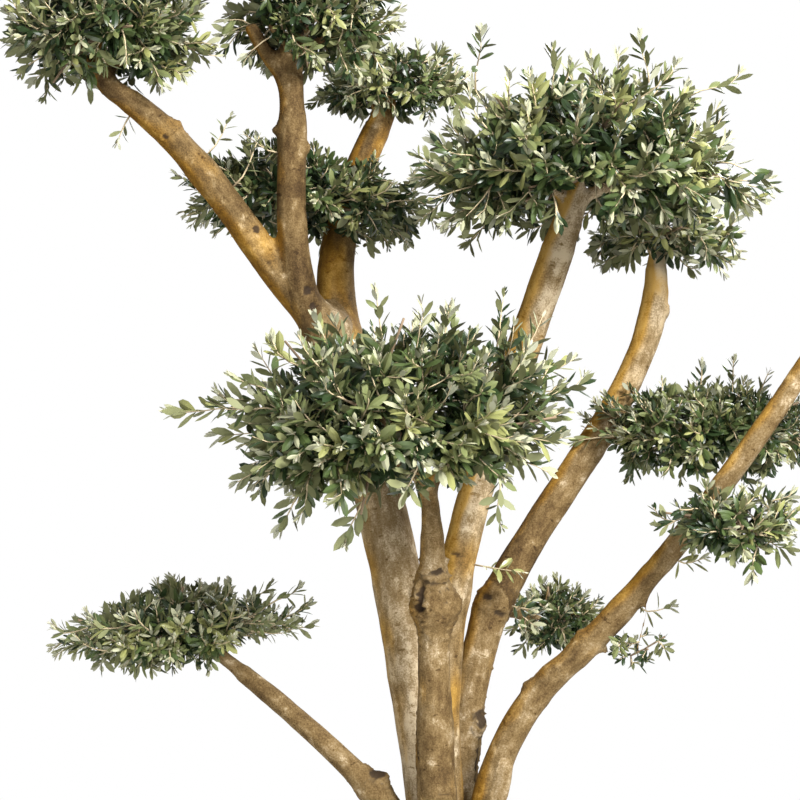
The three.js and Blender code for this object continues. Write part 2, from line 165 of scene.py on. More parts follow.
WOOD_BACK = (  # limbs whose mesh is apart from the rest
    "stem_left", "bough_upper_left", "bough_upper_middle", "bough_upper_fork", "bough_back",
    "stem_right_back", "bough_right_back", "bough_right_side", "bough_low_back",
)
CURVE_STEPS = 300  # of a limb's middle line, before it is divided evenly
LEAST_STEPS = 4
WOOD_STEP = 12  # between the rings of a limb
WOOD_SIDES = 20
TRUNK_SIDES = 80
WOOD_VOXEL = 5.4
EVEN_WEIGHT = 0.5
EVEN_ROUNDS = 6
# Limbs are smoothed into each other where one of them starts: fully up to the first gap and the first
# distance from that foot, and not past the second
CROTCH_GAP = (7.8, 26)
CROTCH_LENGTH = (72, 120)
CROTCH_WEIGHT = 0.6
CROTCH_ROUNDS = 30

# A noise in the bark: the size of its features, across and along a limb where there are three, its
# strength, and a shift in metres that sets it apart from the others
Rough = namedtuple("Rough", "size strength shift", defaults=[0])
FLUTES = Rough((45, 45, 320), 0.05)  # beside the limb's radius
LUMPS = Rough(75, 0.05)
PLATES = Rough((13, 13, 60), 1)
RAGGED = Rough(12, 0.55)  # the edges of marks
FRAYED = Rough(5, 0.4, 3)
TONES = Rough(100, 0.14)
PATCHES = Rough(85, 0.45, 5)  # of ochre
STREAKS = Rough((20, 20, 90), 0.225, 9)
LIMB_SHIFT = 3.7  # metres between the noises of one limb and the next
PLATE_HEIGHT = 0.9
PLATE_TONE = 0.12
FOOT_ROUGH = 1.6  # how much higher the plates are at the ground
FOOT_HEIGHT = (100, 700)  # where that starts to fade, and ends
MIDDLE_TONE = 0.5
OCHRE_OWN = 0.75  # how strongly a limb's own ochre counts
OCHRE_LEFT = 0.65  # how strongly facing left counts
OCHRE_LEAST = 0.4  # what every limb's left side has beside its own ochre
LEFTWARD = 0.85  # facing left by this much counts in full

# Painted shade: hollows of the skin are darkened by how far some rounds of evening would fill them, from
# shallow to deep. Creases and seams mix the bark towards the dark hollow colour, and grooves lower its tone.
HollowShade = namedtuple("HollowShade", "rounds shallow deep dark")
CREASE_SHADE = HollowShade(8, 0.5, 2, 0.6)
SEAM_SHADE = HollowShade(24, 3, 8, 0.75)
GROOVE_SHADE = HollowShade(60, 1, 8, 0.6)

# A cloud of leaves grows on the tip of its bough, or on its side at a share along it. Half is its clipped
# size from the middle, in X, Y, up and down, and twigs the number of its main twigs. Leaf is the size of
# its leaves beside the largest, fresh the share of its shoots that show young ones and dense how closely
# its shoots stand. Under is the exponent that rounds its underside, and how far that hangs. A cloud with no
# core is open.
Cloud = namedtuple("Cloud", "bough middle half twigs leaf fresh dense under side core", defaults=(None, True))
CLOUDS = {
    "leaves_upper_left": Cloud(
        "bough_upper_left", (-696, 40, 2237), (216, 195, 182, 121), 5, 0.86, 0.36, 1, (1.75, 1.12)),
    "leaves_upper_middle": Cloud(
        "bough_upper_middle", (-282, 120, 2282), (176, 172, 206, 134), 5, 0.86, 0.42, 0.95, (1.85, 1.17)),
    "leaves_back_low": Cloud(
        "bough_back", (-306, 320, 1934), (250, 200, 118, 109), 5, 0.8, 0.02, 1.1, (1.88, 1.2), side=0.5),
    "leaves_back_high": Cloud(
        "bough_back", (-113, 415, 2182), (160, 150, 103, 75), 4, 0.76, 0.65, 0.9, (2.05, 1.28)),
    "leaves_front": Cloud(
        "stem_front", (-112, -260, 1440), (347, 262, 244, 178), 9, 1, 0.47, 1, (1.4, 1.2)),
    "leaves_upper_right": Cloud(
        "stem_middle", (260, -60, 1943), (320, 265, 217, 138), 8, 0.98, 0.33, 1, (1.55, 1.24)),
    # Its fresh of 1 is partly painted light: young leaves on all its shoots make this cloud, which lies in
    # the shade of leaves_upper_right, paler
    "leaves_right_back": Cloud(
        "bough_right_back", (458, 262, 1850), (165, 150, 85, 91), 4, 0.86, 1, 0.75, (1.85, 1.22)),
    "leaves_right": Cloud(
        "bough_right_side", (532, 150, 1434), (258, 195, 118, 112), 5, 0.74, 0.07, 1, (1.75, 1.2)),
    "leaves_far_right": Cloud(
        "bough_right", (905, -238, 1830), (188, 182, 150, 105), 5, 0.9, 0.3, 1, (1.6, 1.06)),
    "leaves_right_low": Cloud(
        "bough_right_low", (526, -226, 1258), (138, 110, 84, 86), 3, 0.84, 0.12, 0.85, (1.55, 1.05)),
    "leaves_low_back": Cloud(
        "bough_low_back", (240, 300, 1029), (96, 98, 86, 86), 3, 0.7, 0.12, 1, (1.7, 1.12)),
    "leaves_low_left": Cloud(
        "bough_low_left", (-556, 50, 1024), (226, 200, 115, 95), 5, 0.74, 0.9, 0.85, (1.35, 1.04)),
    "sprout_right": Cloud(
        "bough_right", (362, -96, 1006), (72, 62, 62, 72), 2, 0.58, 0.5, 0.1, (1.5, 1), side=0.3, core=False),
}

# The source's rule for twigs
REACH = 1.28  # the leaves of long sprigs end this far out beside the clipped surface
SPRIG_END = 0.95
TWIG_END = 0.64
SPRIG_EVERY = 4
FOOT_CONE = -0.8  # no twig grows closer to straight down than this cosine
JITTER = 0.22
FORKS = 2
FORK_AT = 0.3
FORK_SPREAD = math.radians(24)
STEM_BEND = 0.35
STEM_TAPER = 1.6
STEM_SIDE_THICK = 8
TWIG_FOOT = 13
TWIG_TIP = 8
CLEAR = 5  # space that twigs and leaves keep from a limb
APART = 0.05  # how much nearer, in outness, a cloud's twigs are to it than to other clouds
UPRIGHT = 0.9  # a direction whose rise is above this counts as upright
TESTED = np.array([[0.5], [0.75], [1.0]])  # the shares along a twig that have to be free
CORE_DRAWS = 3  # random numbers that the source takes for a core, and for the leaf on a twig
SPRIG_DRAWS = 1
TWIG_DRAWS = 2

# The finer twigs that the scene carries the rule on to. A kind of shoot is a share of them, how far out it
# ends, how much further in it starts at least, how widely its leaves are spaced, how large they are, how
# far they spread beside the others', and how steeply it may hang.
Kind = namedtuple("Kind", "share out inward spacing size spread hang")
KINDS = [
    Kind(0.2, (0.42, 0.66), 0.14, 1.0, 1.0, 1.0, -0.15),
    Kind(0.54, (0.6, 0.88), 0.14, 1.0, 1.0, 1.0, -0.15),
    Kind(0.26, (0.84, 1.14), 0.4, 1.3, 0.92, 0.7, -0.5),
]
INNER = 0  # the kind that fills the cloud
LONG = 2  # the kind that stands out as long sprigs
SPRIG_TIPS = {  # the tips of the longest sprigs
    "leaves_front": [
        (-147, -250, 1716), (-62, -230, 1692), (100, -200, 1708), (-541, -260, 1481), (-371, -280, 1600),
        (250, -220, 1548), (-201, -330, 1236), (-330, -300, 1256), (90, -310, 1262),
    ],
    "leaves_upper_right": [
        (57, -80, 2230), (373, -60, 2226), (195, -120, 2186), (452, -40, 2172), (572, -70, 2150),
        (629, -90, 1936), (-20, -100, 1838), (-52, -40, 1990),
    ],
    "leaves_low_left": [(-282, 40, 1095), (-272, 60, 1050), (-300, 30, 1130), (-806, 40, 1050)],
    "leaves_right": [(521, 120, 1583), (590, 140, 1588), (660, 120, 1560), (470, 60, 1330)],
    "leaves_right_low": [(640, -250, 1330), (560, -300, 1172)],
    "leaves_back_low": [(-420, 200, 2062), (-575, 300, 1900)],
    "leaves_upper_left": [(-560, 0, 2125), (-520, 30, 2160), (-860, 0, 2150)],
    "leaves_upper_middle": [(-420, 90, 2190), (-455, 100, 2250), (-180, 60, 2170)],
}
SHOOTS_PER_M2 = 700  # leafy shoots for each square metre of a cloud's clipped surface
FULL_ABOVE = 2.35  # the exponent of a cloud's upper side, where 2 makes a ball and more a box
FULL_RISE = (-0.3, 0.3)  # directions' rises that the underside turns into the upper side between
HANG_RISE = (-0.35, 0)
BARE_SHARE = 0.36  # the share of the shoots at a cloud's bottom that is missing
BARE_BELOW = -0.3  # the rise that the bottom starts at
# How much a cloud rises towards its right end, and how far it is clipped back
TILT = {"leaves_front": 0.1, "leaves_low_left": 0.1, "leaves_back_low": -0.1}
TRIM = {"leaves_front": 0.925, "leaves_upper_right": 0.97, "leaves_right": 0.91}
# Openings in the front of a cloud, through which its fork shows: X, height and radius
WINDOWS = {
    "leaves_upper_right": [(215, 1876, 32), (246, 1880, 36)],
    "leaves_upper_middle": [(-362, 2180, 44), (-392, 2235, 42), (-420, 2290, 38)],
}
BARE_CONE = 0.92  # no shoot grows closer to its bough than this cosine, seen from the cloud's middle
CLOUD_LUMP = 0.09
CLOUD_LUMP_SIZE = 0.33
CLOUD_SHIFT = 3  # between the lumps of one cloud and the next
WAY_STRAY = 0.06  # how far shoots stray from an even spread
OUTWARD = 0.75  # how strongly shoots turn out of the cloud, and up
UPWARD = 0.55
UPWARD_RISE = (-0.6, 0.3)  # rises of the surface that the turn up fades in between
GROW_STRAY = 0.2
SHOOT_LEAD = 0.35  # a shoot's handles beside its span
SHOOT_ARRIVE = 0.4
TOO_FAR_OUT = 1  # metres that a start too far out counts as further away
SHOOT_FOOT = 4.6  # diameters
SHOOT_TIP = 1.7
SHOOT_RINGS = 5
SHOOT_SPOTS = np.array([[0.25], [0.4], [0.55], [0.7], [0.8]])  # where later shoots may grow out of a shoot
SHOOT_SIDES = 3
TWIG_RINGS = 6
TWIG_SIDES = 5
ARMS = 4  # branches that a bough divides into inside its cloud
ARM_SHARE = 0.56  # of the bough's thickness
ARM_BEND = 0.45
OPEN_TWIGS = 0.4  # how thick the twigs of an open cloud are beside the others
TWIG_SPOTS = 12  # where shoots may grow out of a twig

# Pairs of leaves down a shoot: how far from its tip, how long, and how far they spread from the shoot
PAIR_AT = np.array([2, 9, 19, 31, 44, 58, 73, 89])
PAIR_LONG = np.array([14, 25, 36, 43, 47, 48, 47, 44])
PAIR_SPREAD = np.radians([16, 27, 38, 46, 52, 56, 60, 64])
PAIR_SPACE = (0.85, 1.2)  # how much shoots differ in the space between pairs, and in the size of leaves
PAIR_SIZE = (0.85, 1.15)
PAIR_TWIST = 0.25  # radians that pairs stray round the shoot, and leaves from their spread
PAIR_STRAY = 0.16
LAST_PAIR = 0.96  # the share of a shoot, from its tip, that has leaves
YOUNG_PAIRS = 3
YOUNG_OUT = (0.6, 0.85)  # how far out young leaves start to show
YOUNG_LONG = 0.6  # how much further long sprigs are towards all showing them
LEAF_LONG = (0.88, 1.12)
LEAF_SLIM = (0.28, 0.38)  # width beside length
LEAF_BEND = (0.02, 0.22)
LEAF_MIDDLE = 0.6  # where a leaf is tested for keeping clear of the wood
LEAF_LOST = 0.1
SKYWARD = 0.5  # how strongly a leaf's upper side turns to the sky
LEAF_ROLL = 0.42  # how far leaves stray from facing that way

# A leaf's corners: across in half widths, along and up in lengths. The last two are its raised midrib.
BLADE = np.array([
    (0, 0, 0), (-0.58, 0.22, 0), (0.58, 0.22, 0), (-1, 0.5, 0), (1, 0.5, 0),
    (-0.8, 0.8, 0), (0.8, 0.8, 0), (0, 1, 0), (0, 0.3, 0.045), (0, 0.7, 0.045),
])
BLADE_TOP = np.array([
    (0, 2, 8), (2, 4, 8), (8, 4, 9), (4, 6, 9), (6, 7, 9),
    (0, 8, 1), (1, 8, 3), (8, 9, 3), (3, 9, 5), (5, 9, 7),
])
BLADE_UNDER = np.array([(0, 1, 2), (1, 3, 4), (1, 4, 2), (3, 5, 6), (3, 6, 4), (5, 7, 6)])
BLADE_SHARP = [(0, 1), (1, 3), (3, 5), (5, 7), (0, 2), (2, 4), (4, 6), (6, 7), (0, 8), (8, 9), (7, 9)]

# Small sprigs straight out of a limb's bark: share along it, degrees round it, length and rise
SPROUTS = {
    "stem_left": [(0.46, 40, 80, 0.7), (0.43, 55, 60, 0.4)],
    "stem_middle": [(0.46, 62, 115, 0.05)],
    "stem_right_back": [(0.98, 60, 60, 0.1)],
    "bough_right": [(0.22, 80, 70, 0.7), (0.34, 70, 60, 0.7), (0.42, 100, 70, 0.7)],
    "bough_low_back": [
        (0.3, -10, 46, 0.6), (0.42, 45, 40, 0.3), (0.5, -40, 46, 0.6), (0.58, 15, 46, 0.1),
        (0.68, 60, 40, 0.4), (0.75, -15, 46, 0.5),
    ],
    "bough_upper_left": [(0.52, 80, 120, 0.9), (0.66, 100, 100, 0.6), (0.9, -110, 70, -0.4)],
    "bough_upper_middle": [(0.72, -80, 80, 0.5)],
}
SPROUT_LEAF = 0.72
SPROUT_SUNK = 4
SPROUT_LEAD = 0.4
SPROUT_ARRIVE = 0.7

# Base colours, dealt out to the leaves by spray
LEAF_TOPS = {
    "leaf_dark": (0.018, 0.033, 0.011),
    "leaf_green": (0.050, 0.073, 0.022),
    "leaf_grey": (0.127, 0.145, 0.054),
    "leaf_olive": (0.215, 0.220, 0.078),
}
LEAF_PALES = {
    "leaf_young": (0.290, 0.292, 0.182),
    "leaf_bud": (0.480, 0.455, 0.350),
    "leaf_under": (0.160, 0.168, 0.074),
    "leaf_young_under": (0.335, 0.338, 0.240),
}
LEAF_SLOTS = {name: slot for slot, name in enumerate([*LEAF_TOPS, *LEAF_PALES])}
LEAF_GLOSS = 0.34  # specular level
LEAF_TOP_ROUGHNESS = 0.33
LEAF_PALE_ROUGHNESS = 0.55
TWIG_YOUNG = (0.500, 0.400, 0.245)
TWIG_YOUNG_ROUGHNESS = 0.7
TWIG_OLD = (0.200, 0.138, 0.080)
TWIG_OLD_ROUGHNESS = 0.8
DEAL_FRESH = (0.14, 0.28, 0.30, 0.28)  # shares of the four tops on shoots that show young leaves
DEAL_OLD = (0.44, 0.34, 0.17, 0.05)

BARK_TONES = [
    (0.0, (0.034, 0.018, 0.006)), (0.3, (0.086, 0.052, 0.019)), (0.5, (0.142, 0.092, 0.037)),
    (0.7, (0.205, 0.145, 0.074)), (1.0, (0.430, 0.345, 0.225)),
]
OCHRE_TONES = [(0.15, (0.108, 0.048, 0.005)), (0.5, (0.208, 0.102, 0.010)), (0.85, (0.335, 0.193, 0.036))]
# The colour of dark marks and of the painted shade in creases and seams
BARK_SCAR_AND_SHADE = (0.024, 0.015, 0.009)
BARK_ROUGHNESS = (0.7, 0.92)
BARK_GLOSS = 0.12
BUMP = 0.7
BUMP_HEIGHT = 1.6

# A noise in the bark's colour: how fine it is, its detail and roughness, and how strongly it counts
Speckle = namedtuple("Speckle", "scale detail roughness strength")
STREAK = Speckle(70, 6, 0.62, 0.9)
STREAK_LONG = (1, 1, 0.5)  # draws the streaks out along the limb
MOTTLE = Speckle(15, 3, 0.5, 0.8)
FINE = Speckle(300, 3, 0.6, 0.8)
FLECKS = Speckle(44, 3, 0.6, -0.36)
FLECK_SHORT = (1, 1, 2.4)
FLECK_STEP = (0.6, 0.74)
LICHEN = Speckle(30, 4, 0.62, 0.25)
LICHEN_STEP = (0.56, 0.7)
OCHRE_STEP = (0.5, 1.1)
OCHRE_UNEVEN = 0.45
OCHRE_MOST = 0.92
# How the marks' darkness and the painted shade of creases and seams turn into the dark hollow colour
HOLLOW_STEP = (0.3, 0.8)
HOLLOW_UNEVEN = 0.5
HOLLOW_MOST = 0.9

# The studio, in metres
FLOOR_RADIUS = 3.1
FLOOR_HOLE = 0.02
FLOOR_RINGS = 6
FLOOR_SIDES = 96
FLOOR_COLOUR = (0.62, 0.62, 0.61)
FLOOR_ROUGHNESS = 0.7
SKY_FROM = -0.3  # the rise that the sky is darkest at
SKY_LIGHT = (0.12, 0.82)  # there, and at the zenith
LIGHTS = {  # place, size and power
    "key": ((2.0, -2.9, 3.5), 1.5, 470),
    "fill": ((-1.6, -3.7, 1.2), 2.4, 75),
    "back": ((1.8, 2.8, 3.6), 2.2, 170),
}
LIGHT_AIM = (0, 0, 1.5)
CAMERA_AT = (-0.1, -4.2, 1.5)
CAMERA_LENS = 94.5


def metres(sizes):
    return np.array(sizes) * MM


def lerp(start, end, share):
    return start + (end - start) * share


def unit(vectors):
    return vectors / np.maximum(np.linalg.norm(vectors, axis=-1, keepdims=True), 1e-12)


def turned(vectors, axes, angles):
    """Vectors turned about unit axes by angles."""
    angles = np.asarray(angles)[..., None]
    along = np.sum(axes * vectors, axis=-1, keepdims=True) * axes
    return along + (vectors - along) * np.cos(angles) + np.cross(axes, vectors) * np.sin(angles)


def random_from(seed):
    """The source's own random numbers, so that the same twigs grow here."""
    mask = 2**32 - 1
    state = seed & mask

    def draw():
        nonlocal state
        state = (state + 0x6D2B79F5) & mask
        mixed = (state ^ (state >> 15)) * (state | 1) & mask
        mixed = (mixed + (mixed ^ (mixed >> 7)) * (mixed | 61)) & mask ^ mixed
        return (mixed ^ (mixed >> 14)) / 2**32

    return draw


def bezier(handles, shares):
    """Points of a curve by its handles, or of many curves at once: the handles' axis comes first."""
    level = list(handles)
    while len(level) > 1:
        level = [lerp(here, there, shares) for here, there in zip(level, level[1:])]
    return level[0]


def curve_at(handles, shares):
    """Points of curves, from handles as above, and the directions there."""
    return bezier(handles, shares), unit(bezier(np.diff(handles, axis=0), shares))


def noise_at(places, size):
    """Smooth noise from -1 to 1, with features of the given size along each axis."""
    return np.array([noise.noise(place) for place in (places / np.asarray(size)).tolist()])


def smoothstep(low, high, value):
    share = np.clip((value - low) / (high - low), 0, 1)
    return share * share * (3 - 2 * share)


# The middle line of a limb: even points with their radius, run from the foot, direction, front and
# right-hand side
Strand = namedtuple("Strand", "name path radii runs ways fronts sides ochre tone")


def strand_of(name, handles, radius, ochre, tone):
    """A strand along the curve by some handles. Radius takes the shares along it and its length in metres."""
    fine = bezier(metres(handles), np.linspace(0, 1, CURVE_STEPS)[:, None])
    runs = np.concatenate([[0], np.cumsum(np.linalg.norm(np.diff(fine, axis=0), axis=1))])
    shares = np.linspace(0, 1, max(LEAST_STEPS, math.ceil(runs[-1] / (WOOD_STEP * MM))) + 1)
    path = np.stack([np.interp(shares * runs[-1], runs, axis) for axis in fine.T], axis=1)
    ways = unit(np.gradient(path, axis=0))
    sides = unit(np.cross(ways, VIEWER))
    radii = radius(shares, runs[-1])
    return Strand(name, path, radii, shares * runs[-1], ways, np.cross(sides, ways), sides, ochre, tone)


def limb_strand(name):
    limb = LIMBS[name]
    foot, tip = np.array(limb.foot), np.array(limb.tip)

    def radius(shares, length):
        swell = COLLAR * np.exp(-shares * length / (COLLAR_LENGTH * MM))
        for at, grown in limb.knots.items():
            swell += grown * np.exp(-(((shares - at) * length / (KNOT_LENGTH * MM)) ** 2))
        return lerp(*limb.thick, shares) / 2 * MM * (1 + swell)

    return strand_of(name, [foot, foot + limb.lead, tip - limb.arrive, tip], radius, limb.ochre, limb.tone)


def stem_strand(node, limbs):
    """The stem that carries a cloud's twigs, from its bough to the cloud's middle."""
    cloud = CLOUDS[node]
    parent = limbs[cloud.bough]
    spot = -1 if cloud.side is None else round(cloud.side * (len(parent.path) - 1))
    foot, hub = parent.path[spot] / MM, np.array(cloud.middle)
    heading = parent.ways[-1] if cloud.side is None else unit(hub - foot)
    bend = foot + heading * STEM_BEND * np.linalg.norm(hub - foot)
    thick = STEM_SIDE_THICK if cloud.side else 2 * parent.radii[-1] / MM

    def radius(shares, _):
        return lerp(thick, min(thick, TWIG_FOOT), shares**STEM_TAPER) / 2 * MM

    return strand_of(node, [foot, bend, hub], radius, 2 * parent.ochre[-1:], 2 * parent.tone[-1:])


def trunk_radius(shares, angles):
    flare = np.exp(-shares * TRUNK["height"] / TRUNK["flare_height"])
    straight = lerp(2 * TRUNK["waist"] - TRUNK["crown"], TRUNK["crown"], shares) / 2
    wide = lerp(straight, TRUNK["foot"] / 2, flare)
    ridge = TRUNK["ridge_depth"] * np.cos(TRUNK["ridges"] * angles + TRUNK["ridge_twist"] * shares)
    oval = TRUNK["oval"] * np.cos(2 * angles + TRUNK["oval_twist"] * shares)
    over = np.maximum(0, (shares - 1) / TRUNK["rounded_top"] + 1)
    narrow = np.sqrt(1 - TRUNK["top_narrows"] * over**2)
    return wide * narrow * (1 + (ridge + oval) * (TRUNK["ridges_aloft"] + flare)) * MM


def trunk_strand():
    tip = (*TRUNK["lean"], TRUNK["height"])
    bend = (0, 0, TRUNK["height"] / 2)

    def radius(shares, _):
        return trunk_radius(shares, math.pi / 4)

    return strand_of("trunk", [(0, 0, 0), bend, tip], radius, TRUNK_OCHRE, TRUNK_TONE)


def ring_angles(sides):
    return np.arange(sides) * 2 * math.pi / sides


def rings_round(path, radii, fronts, sides, count):
    """Rings of corners round the points of a path, or of many paths with the same radii."""
    angles = ring_angles(count)[:, None]
    outward = np.cos(angles) * fronts[..., None, :] + np.sin(angles) * sides[..., None, :]
    return path[..., None, :] + radii[:, None, None] * outward


def limb_rings(strand):
    return rings_round(strand.path, strand.radii, strand.fronts, strand.sides, WOOD_SIDES)


def trunk_rings():
    shares = np.linspace(0, 1, round(TRUNK["height"] / WOOD_STEP) + 1)[:, None]
    angles = ring_angles(TRUNK_SIDES)
    radius = trunk_radius(shares, angles)
    lean_x, lean_y = metres(TRUNK["lean"])
    x = lean_x * shares**2 + radius * np.cos(angles)
    y = lean_y * shares**2 + radius * np.sin(angles)
    return np.stack([x, y, TRUNK["height"] * MM * shares + 0 * angles], axis=2)


def tubes(rings):
    """Corners and triangles of closed tubes, from their corners as an array of tube, ring, side and axis."""
    count, steps, sides, _ = rings.shape
    here = np.arange((steps - 1) * sides)
    beside = here - here % sides + (here + 1) % sides
    walls = [np.stack([here, beside, beside + sides], axis=1),
             np.stack([here, beside + sides, here + sides], axis=1)]
    fan = np.array([(0, k + 1, k) for k in range(1, sides - 1)])
    pattern = np.concatenate([*walls, fan, fan[:, ::-1] + (steps - 1) * sides])
    starts = np.arange(count)[:, None, None] * steps * sides
    return rings.reshape(-1, 3), (pattern + starts).reshape(-1, 3)


def joined(parts):
    """Corners and triangles of several pieces as one."""
    starts = np.cumsum([0] + [len(places) for places, _ in parts])
    return (np.concatenate([places for places, _ in parts]),
            np.concatenate([faces + start for (_, faces), start in zip(parts, starts)]))


def add_object(name, data):
    made = bpy.data.objects.new(name, data)
    bpy.context.collection.objects.link(made)
    return made


def new_piece(name, places, triangles, materials=(), slots=None):
    mesh = bpy.data.meshes.new(name)
    mesh.vertices.add(len(places))
    mesh.vertices.foreach_set("co", places.astype(np.float32).ravel())
    mesh.loops.add(3 * len(triangles))
    mesh.loops.foreach_set("vertex_index", triangles.astype(np.int32).ravel())
    mesh.polygons.add(len(triangles))
    mesh.polygons.foreach_set("loop_start", np.arange(0, 3 * len(triangles), 3, dtype=np.int32))
    for material in materials:
        mesh.materials.append(material)
    if slots is not None:
        mesh.polygons.foreach_set("material_index", slots.astype(np.int32))
    mesh.update(calc_edges=True)
    return add_object(name, mesh)


def places_of(mesh):
    places = np.empty(3 * len(mesh.vertices), np.float32)
    mesh.vertices.foreach_get("co", places)
    return places.reshape(-1, 3).astype(float)


def edges_of(mesh):
    edges = np.empty(2 * len(mesh.edges), np.int32)
    mesh.edges.foreach_get("vertices", edges)
    return edges.reshape(-1, 2)


def evened(values, edges, weight, rounds):
    """Values drawn towards the mean of their neighbours, by a weight for each."""
    start, end = edges.T
    count = len(values)
    neighbours = np.maximum(np.bincount(start, minlength=count) + np.bincount(end, minlength=count), 1)
    for _ in range(rounds):
        for axis in range(values.shape[1]):
            column = values[:, axis]
            total = np.bincount(start, column[end], count) + np.bincount(end, column[start], count)
            values[:, axis] += weight * (total / neighbours - column)
    return values


def distances(places, others):
    squares = np.sum(places**2, axis=1)[:, None] + np.sum(others**2, axis=1) - 2 * places @ others.T
    return np.sqrt(np.maximum(squares, 0))


# Where places lie on the wood: the nearest strand, the gap to the next one, the radius there, the place in
# that strand's own measure (front, side and run), the direction out of it, and its ochre and its tone with
# painted light and shade
Lie = namedtuple("Lie", "strand next_gap radius local outward ochre tone")


def lie_on(strands, places):
    gaps = np.empty((len(strands), len(places)))
    spots = np.empty((len(strands), len(places)), int)
    for row, strand in enumerate(strands):
        away = distances(places, strand.path) - strand.radii
        spots[row] = away.argmin(axis=1)
        gaps[row] = away.min(axis=1)
    order = gaps.argsort(axis=0)
    nearest = order[0]
    next_gap = np.take_along_axis(gaps, order[1:2], axis=0)[0]
    radius, ochre, tone = np.empty((3, len(places)))
    local, outward = np.empty_like(places), np.empty_like(places)
    for row, strand in enumerate(strands):
        mine = nearest == row
        spot = spots[row, mine]
        offset = places[mine] - strand.path[spot]
        front = np.sum(offset * strand.fronts[spot], axis=1)
        side = np.sum(offset * strand.sides[spot], axis=1)
        run = strand.runs[spot] + np.sum(offset * strand.ways[spot], axis=1)
        local[mine] = np.stack([front, side, run], axis=1)
        outward[mine] = unit(front[:, None] * strand.fronts[spot] + side[:, None] * strand.sides[spot])
        radius[mine] = strand.radii[spot]
        ochre[mine] = lerp(*strand.ochre, strand.runs[spot] / strand.runs[-1])
        tone[mine] = lerp(*strand.tone, strand.runs[spot] / strand.runs[-1])
    return Lie(nearest, next_gap, radius, local, outward, ochre, tone)


def wood_mesh(strands):
    """One closed skin round some limbs, smooth where they meet."""
    rings = [trunk_rings() if strand.name == "trunk" else limb_rings(strand) for strand in strands]
    rough = new_piece("wood_rough", *joined([tubes(each[None]) for each in rings]))
    remesh = rough.modifiers.new("skin", "REMESH")
    remesh.mode = "VOXEL"
    remesh.voxel_size = WOOD_VOXEL * MM
    mesh = bpy.data.meshes.new_from_object(rough.evaluated_get(bpy.context.evaluated_depsgraph_get()))
    bpy.data.objects.remove(rough)
    edges = edges_of(mesh)
    places = evened(places_of(mesh), edges, EVEN_WEIGHT, EVEN_ROUNDS)
    feet = np.array([strand.path[0] for strand in strands if strand.name != "trunk"])
    crotch = 1 - smoothstep(*metres(CROTCH_GAP), lie_on(strands, places).next_gap)
    crotch *= 1 - smoothstep(*metres(CROTCH_LENGTH), distances(places, feet).min(axis=1))
    return mesh, evened(places, edges, CROTCH_WEIGHT * crotch, CROTCH_ROUNDS), edges


def on_bark(strand, share, turn):
    """A place on a limb's bark, the direction out of it and the direction along it."""
    spot = round(share * (len(strand.path) - 1))
    angle = math.radians(turn)
    out = math.cos(angle) * strand.fronts[spot] + math.sin(angle) * strand.sides[spot]
    return strand.path[spot] + out * strand.radii[spot], out, strand.ways[spot]


def bark_noise(rough, places):
    return rough.strength * noise_at(places + rough.shift, metres(rough.size))


def mark_shapes(places, strands):
    """How far the marks raise the bark, and how dark they make it: partly the scars' own colour and partly
    painted shade in their pits and round their feet.
    """
    raised, dark = np.zeros(len(places)), np.zeros(len(places))
    ragged = 1 + bark_noise(RAGGED, places) + bark_noise(FRAYED, places)
    for strand, mark in [(strands[limb], mark) for limb in MARKS if limb in strands for mark in MARKS[limb]]:
        place, out, way = on_bark(strand, mark.share, mark.turn)
        offset = places - place
        along = offset @ way / (mark.along * MM)
        around = offset @ np.cross(way, out) / (mark.around * MM)
        depth = offset @ out / (MARK_THICK * max(mark.along, mark.around) * MM)
        away = np.sqrt(along**2 + around**2) * ragged
        near = np.exp(-(depth**2))
        bowl = np.exp(-(away**4)) * near
        rim = np.exp(-((away - RIM_AT) ** 2) / RIM_SPREAD) * near
        if mark.height < 0:
            raised += mark.height * MM * (bowl - RIM_HEIGHT * rim)
            dark = np.maximum(dark, mark.dark * bowl)
        else:
            raised += mark.height * MM * np.exp(-(away**2)) * near
            dark = np.maximum(dark, mark.dark * rim)
    return raised, dark


def add_values(mesh, name, values):
    layer = mesh.attributes.new(name, "FLOAT", "POINT")
    layer.data.foreach_set("value", values.astype(np.float32))


def painted_hollow_shade(hollow, places, edges, outward):
    """How dark the painted shade in the skin's hollows of a kind is."""
    filled = evened(places.copy(), edges, EVEN_WEIGHT, hollow.rounds)
    depth = np.sum((filled - places) * outward, axis=1)
    return hollow.dark * smoothstep(hollow.shallow * MM, hollow.deep * MM, depth)


def colour_bark(mesh, places, edges, lie, local, plates, dark):
    """Writes to the skin how pale, ochre and dark its bark is, and its places by their limbs' own measure."""
    kinds = (CREASE_SHADE, SEAM_SHADE, GROOVE_SHADE)
    # Painted shade in the skin's creases, seams and grooves
    crease_shade, seam_shade, groove_shade = [painted_hollow_shade(kind, places, edges, lie.outward) for kind in kinds]
    # The tone, with the painted light and shade of whole limbs, less the painted shade of grooves
    tone = MIDDLE_TONE + lie.tone + bark_noise(TONES, places) + PLATE_TONE * plates
    add_values(mesh, "tone", tone - groove_shade)
    ochre = OCHRE_OWN * lie.ochre + bark_noise(PATCHES, places) + bark_noise(STREAKS, local)
    leftward = smoothstep(0, LEFTWARD, -lie.outward[:, 0])
    add_values(mesh, "ochre", ochre + OCHRE_LEFT * leftward * (OCHRE_LEAST + lie.ochre))
    # Dark holds the marks' darkness, partly their own colour and partly painted shade, and the painted shade
    # of creases and seams
    add_values(mesh, "dark", np.maximum.reduce([dark, crease_shade, seam_shade]))
    grain = mesh.attributes.new("grain", "FLOAT_VECTOR", "POINT")
    grain.data.foreach_set("vector", local.astype(np.float32).ravel())


